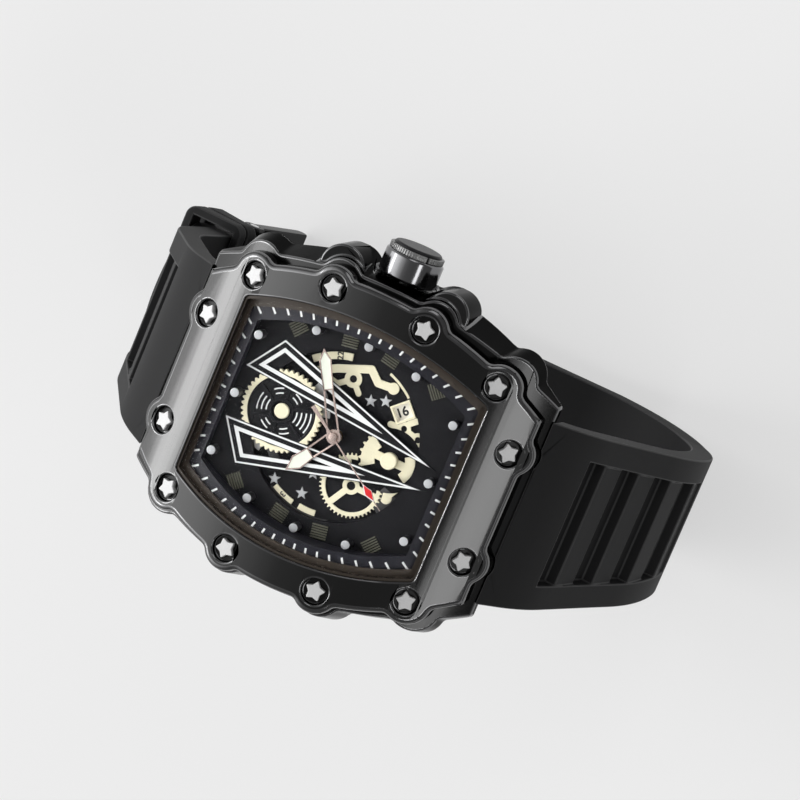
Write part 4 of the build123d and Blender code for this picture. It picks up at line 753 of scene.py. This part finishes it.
# Hands: polished rose-coloured metal round pale luminous fillings; the seconds hand carries a
# red diamond on a white one.
pale_lume = finish(
    "pale_lume", (0.58, 0.61, 0.53), (0.68, 0.70, 0.62), (0.5, 0.7), grain=9000.0, bump=0.4, depth=0.02,
    Specular_IOR_Level=0.2,
)
dress(pale_lume, "hour_hand_lume", "minute_hand_lume")
rose_metal = finish(
    "rose_metal", (0.50, 0.40, 0.36), (0.62, 0.5, 0.45), (0.2, 0.3), metal=0.85, grain=4000.0, bump=0.1,
)
for node, name, body in (
    ("hour_hand", "hour_pointer", "hour_work"), ("minute_hand", "minute_pointer", "minute_work"),
    ("second_hand", "seconds_pointer", "seconds_work"),
):
    fitted(bevelled(copied(node, name), 0.03, rounds=2), rose_metal, body, "rose_metal", node)
diamond_red = finish(
    "diamond_red", (0.46, 0.002, 0.006), (0.58, 0.006, 0.01), (0.3, 0.42), grain=6000.0, bump=0.2, depth=0.01,
)
hand_turn = radians(-123)
hand_way = Vector((cos(hand_turn), sin(hand_turn), 0))
hand_side = Vector((-hand_way.y, hand_way.x, 0))
hand_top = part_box("second_hand")[1].z


def diamond(name, near, far, half, drift, low, high):
    """A flat four-cornered plate along the seconds hand: radii, half width and side drift in mm."""
    middle = (near + far) / 2
    corners = {(False, False): (near, 0), (True, False): (middle, -half), (True, True): (far, 0),
               (False, True): (middle, half)}

    def place(x, y, z):
        along, across = corners[(x > 0, y > 0)]
        spot = hand_way * along * mm + hand_side * (across + drift) * mm
        return spot.x, spot.y, low if z < 0 else high

    plate = block(place)
    plate.name = name
    return outward(plate)


white_diamond = diamond("diamond_white", 7.35, 10.15, 0.57, 0, hand_top - 0.03 * mm, hand_top + 0.02 * mm)
fitted(bevelled(white_diamond, 0.01, rounds=2), white_print, "seconds_work", "pale_print")
red_diamond = diamond("diamond_red", 7.55, 9.95, 0.47, 0.05, hand_top, hand_top + 0.05 * mm)
fitted(bevelled(red_diamond, 0.015, rounds=2), diamond_red, "seconds_work", "rose_metal")

# Movement: brass wheels and plates, steel bridge, plastic holder, coil, battery and board.
# Dial and back close it in, so it keeps the shapes of its solids.
turned_brass = finish(
    "turned_brass", (0.58, 0.42, 0.18), (0.68, 0.5, 0.24), (0.25, 0.4), metal=1.0, grain=3000.0, bump=0.2,
)
dress(
    turned_brass, "hour_wheel", "minute_wheel", "main_plate", "centre_wheel", "third_wheel", "seconds_wheel",
    "cannon_pinion",
)
moulded_white = finish(
    "moulded_white", (0.6, 0.6, 0.58), (0.68, 0.68, 0.66), (0.4, 0.55), grain=2500.0, bump=0.2,
)
dress(moulded_white, "date_driving_wheel", "middle_wheel", "movement_holder")
dress(polished_steel, "train_bridge", "battery", "battery_clip", "stator", "rotor")
copper_wire = finish(
    "copper_wire", (0.5, 0.2, 0.08), (0.6, 0.28, 0.12), (0.3, 0.4), metal=1.0, grain=9000.0,
    stretch=(1, 1, 0.1), bump=0.6,
)
dress(copper_wire, "coil")
board_green = finish(
    "board_green", (0.03, 0.16, 0.06), (0.05, 0.22, 0.09), (0.3, 0.45), grain=2500.0, bump=0.3,
)
dress(board_green, "circuit_board")

# Crown: a polished barrel with four bright grip segments, finely ridged, let in round a black
# cap. A ridge is left out where it would fall between two segments.
crown_plate = finish(
    "crown_plate", (0.16, 0.16, 0.165), (0.2, 0.2, 0.205), (0.1, 0.16), metal=1.0, grain=4200.0,
    bump=0.03, depth=0.004,
)
fitted(bevelled(copied("crown", "crown_barrel"), 0.15), crown_plate, "crown", "dark_steel", "crown")
grip_steel = finish(
    "grip_steel", (0.14, 0.14, 0.14), (0.42, 0.42, 0.42), (0.35, 0.55), metal=0.8, grain=3600.0, bump=1.0,
    depth=0.1, stretch=(0.15, 1, 1),
)
crown_grips = bevelled(copied("crown_grip_ring", "crown_grips"), 0.06)
fitted(crown_grips, grip_steel, "crown", "bright_steel", "crown_grip_ring")
bpy.context.view_layer.update()
grip_low, grip_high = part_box("crown_grip_ring")
grip_middle = (grip_low + grip_high) / 2
grip_reach = grip_high.y - grip_middle.y
grip_found = 0.97 * grip_reach
ridge_count, ridge_width, ridge_rise = 64, 0.16 * mm, 0.1 * mm
ridge_length = grip_high.x - grip_low.x - ridge_rise
grip_ridges = []
for ridge in range(ridge_count):
    angle = 2 * pi * ridge / ridge_count
    way, side = Vector((0, cos(angle), sin(angle))), Vector((0, sin(angle), -cos(angle)))
    seen, spot, _, _ = crown_grips.ray_cast(grip_middle + way * 2 * grip_reach, -way)
    if seen and (spot - grip_middle).length >= grip_found:
        grip_ridges.append(block(
            lambda x, y, z: grip_middle + Vector((x * ridge_length, 0, 0))
            + way * (grip_reach + ridge_rise * 2 * z) + side * y * ridge_width
        ))
fitted(bevelled(joined("grip_ridges", grip_ridges), 0.03, rounds=2), grip_steel, "crown", "bright_steel")
cap_rubber = finish(
    "cap_rubber", (0.008, 0.008, 0.009), (0.014, 0.014, 0.015), (0.3, 0.45), grain=5000.0, bump=0.6,
    depth=0.05, Specular_IOR_Level=0.2,
)
fitted(bevelled(copied("crown_cap", "crown_button"), 0.15), cap_rubber, "crown", "black_rubber", "crown_cap")

# Strap and keepers: moulded black rubber with a fine matt skin; their edges, rounded in the mould, are
# painted a lighter grey as a highlight.
strap_rubber = finish(
    "strap_rubber", (0.011, 0.011, 0.0115), (0.016, 0.016, 0.0165), (0.55, 0.68), grain=5000.0, bump=0.35,
    depth=0.03, Specular_IOR_Level=0.13,
)
strap_highlight_edge = finish(
    "painted_rubber_highlight", (0.028, 0.028, 0.0285), (0.042, 0.042, 0.0425), (0.45, 0.6), grain=5000.0, bump=0.3,
    depth=0.03, Specular_IOR_Level=0.2,
)
for node, name, body, hold in (
    ("long_strap", "strap_long_half", "case", True), ("short_strap", "strap_short_half", "case", False),
    ("fixed_keeper", "keeper_fixed", "case", False),
    ("sliding_keeper", "keeper_sliding", "sliding_keeper", False),
):
    moulding = fitted(copied(node, name, flat=0), strap_rubber, body, "black_rubber", node)
    # The rounded edges take the painted highlight.
    moulding.data.materials.append(strap_highlight_edge)
    bevelled(moulding, 0.2, edge=1, hold=hold)

# Buckle: a frame and a tongue plated like the bezel, with softly rounded edges, on a polished
# steel pin.
for node, name, width, body in (
    ("buckle_frame", "buckle_loop", 0.25, "buckle"), ("buckle_tongue", "buckle_prong", 0.2, "tongue"),
):
    fitted(bevelled(copied(node, name), width), black_plate, body, "dark_steel", node)
dress(polished_steel, "buckle_pin")
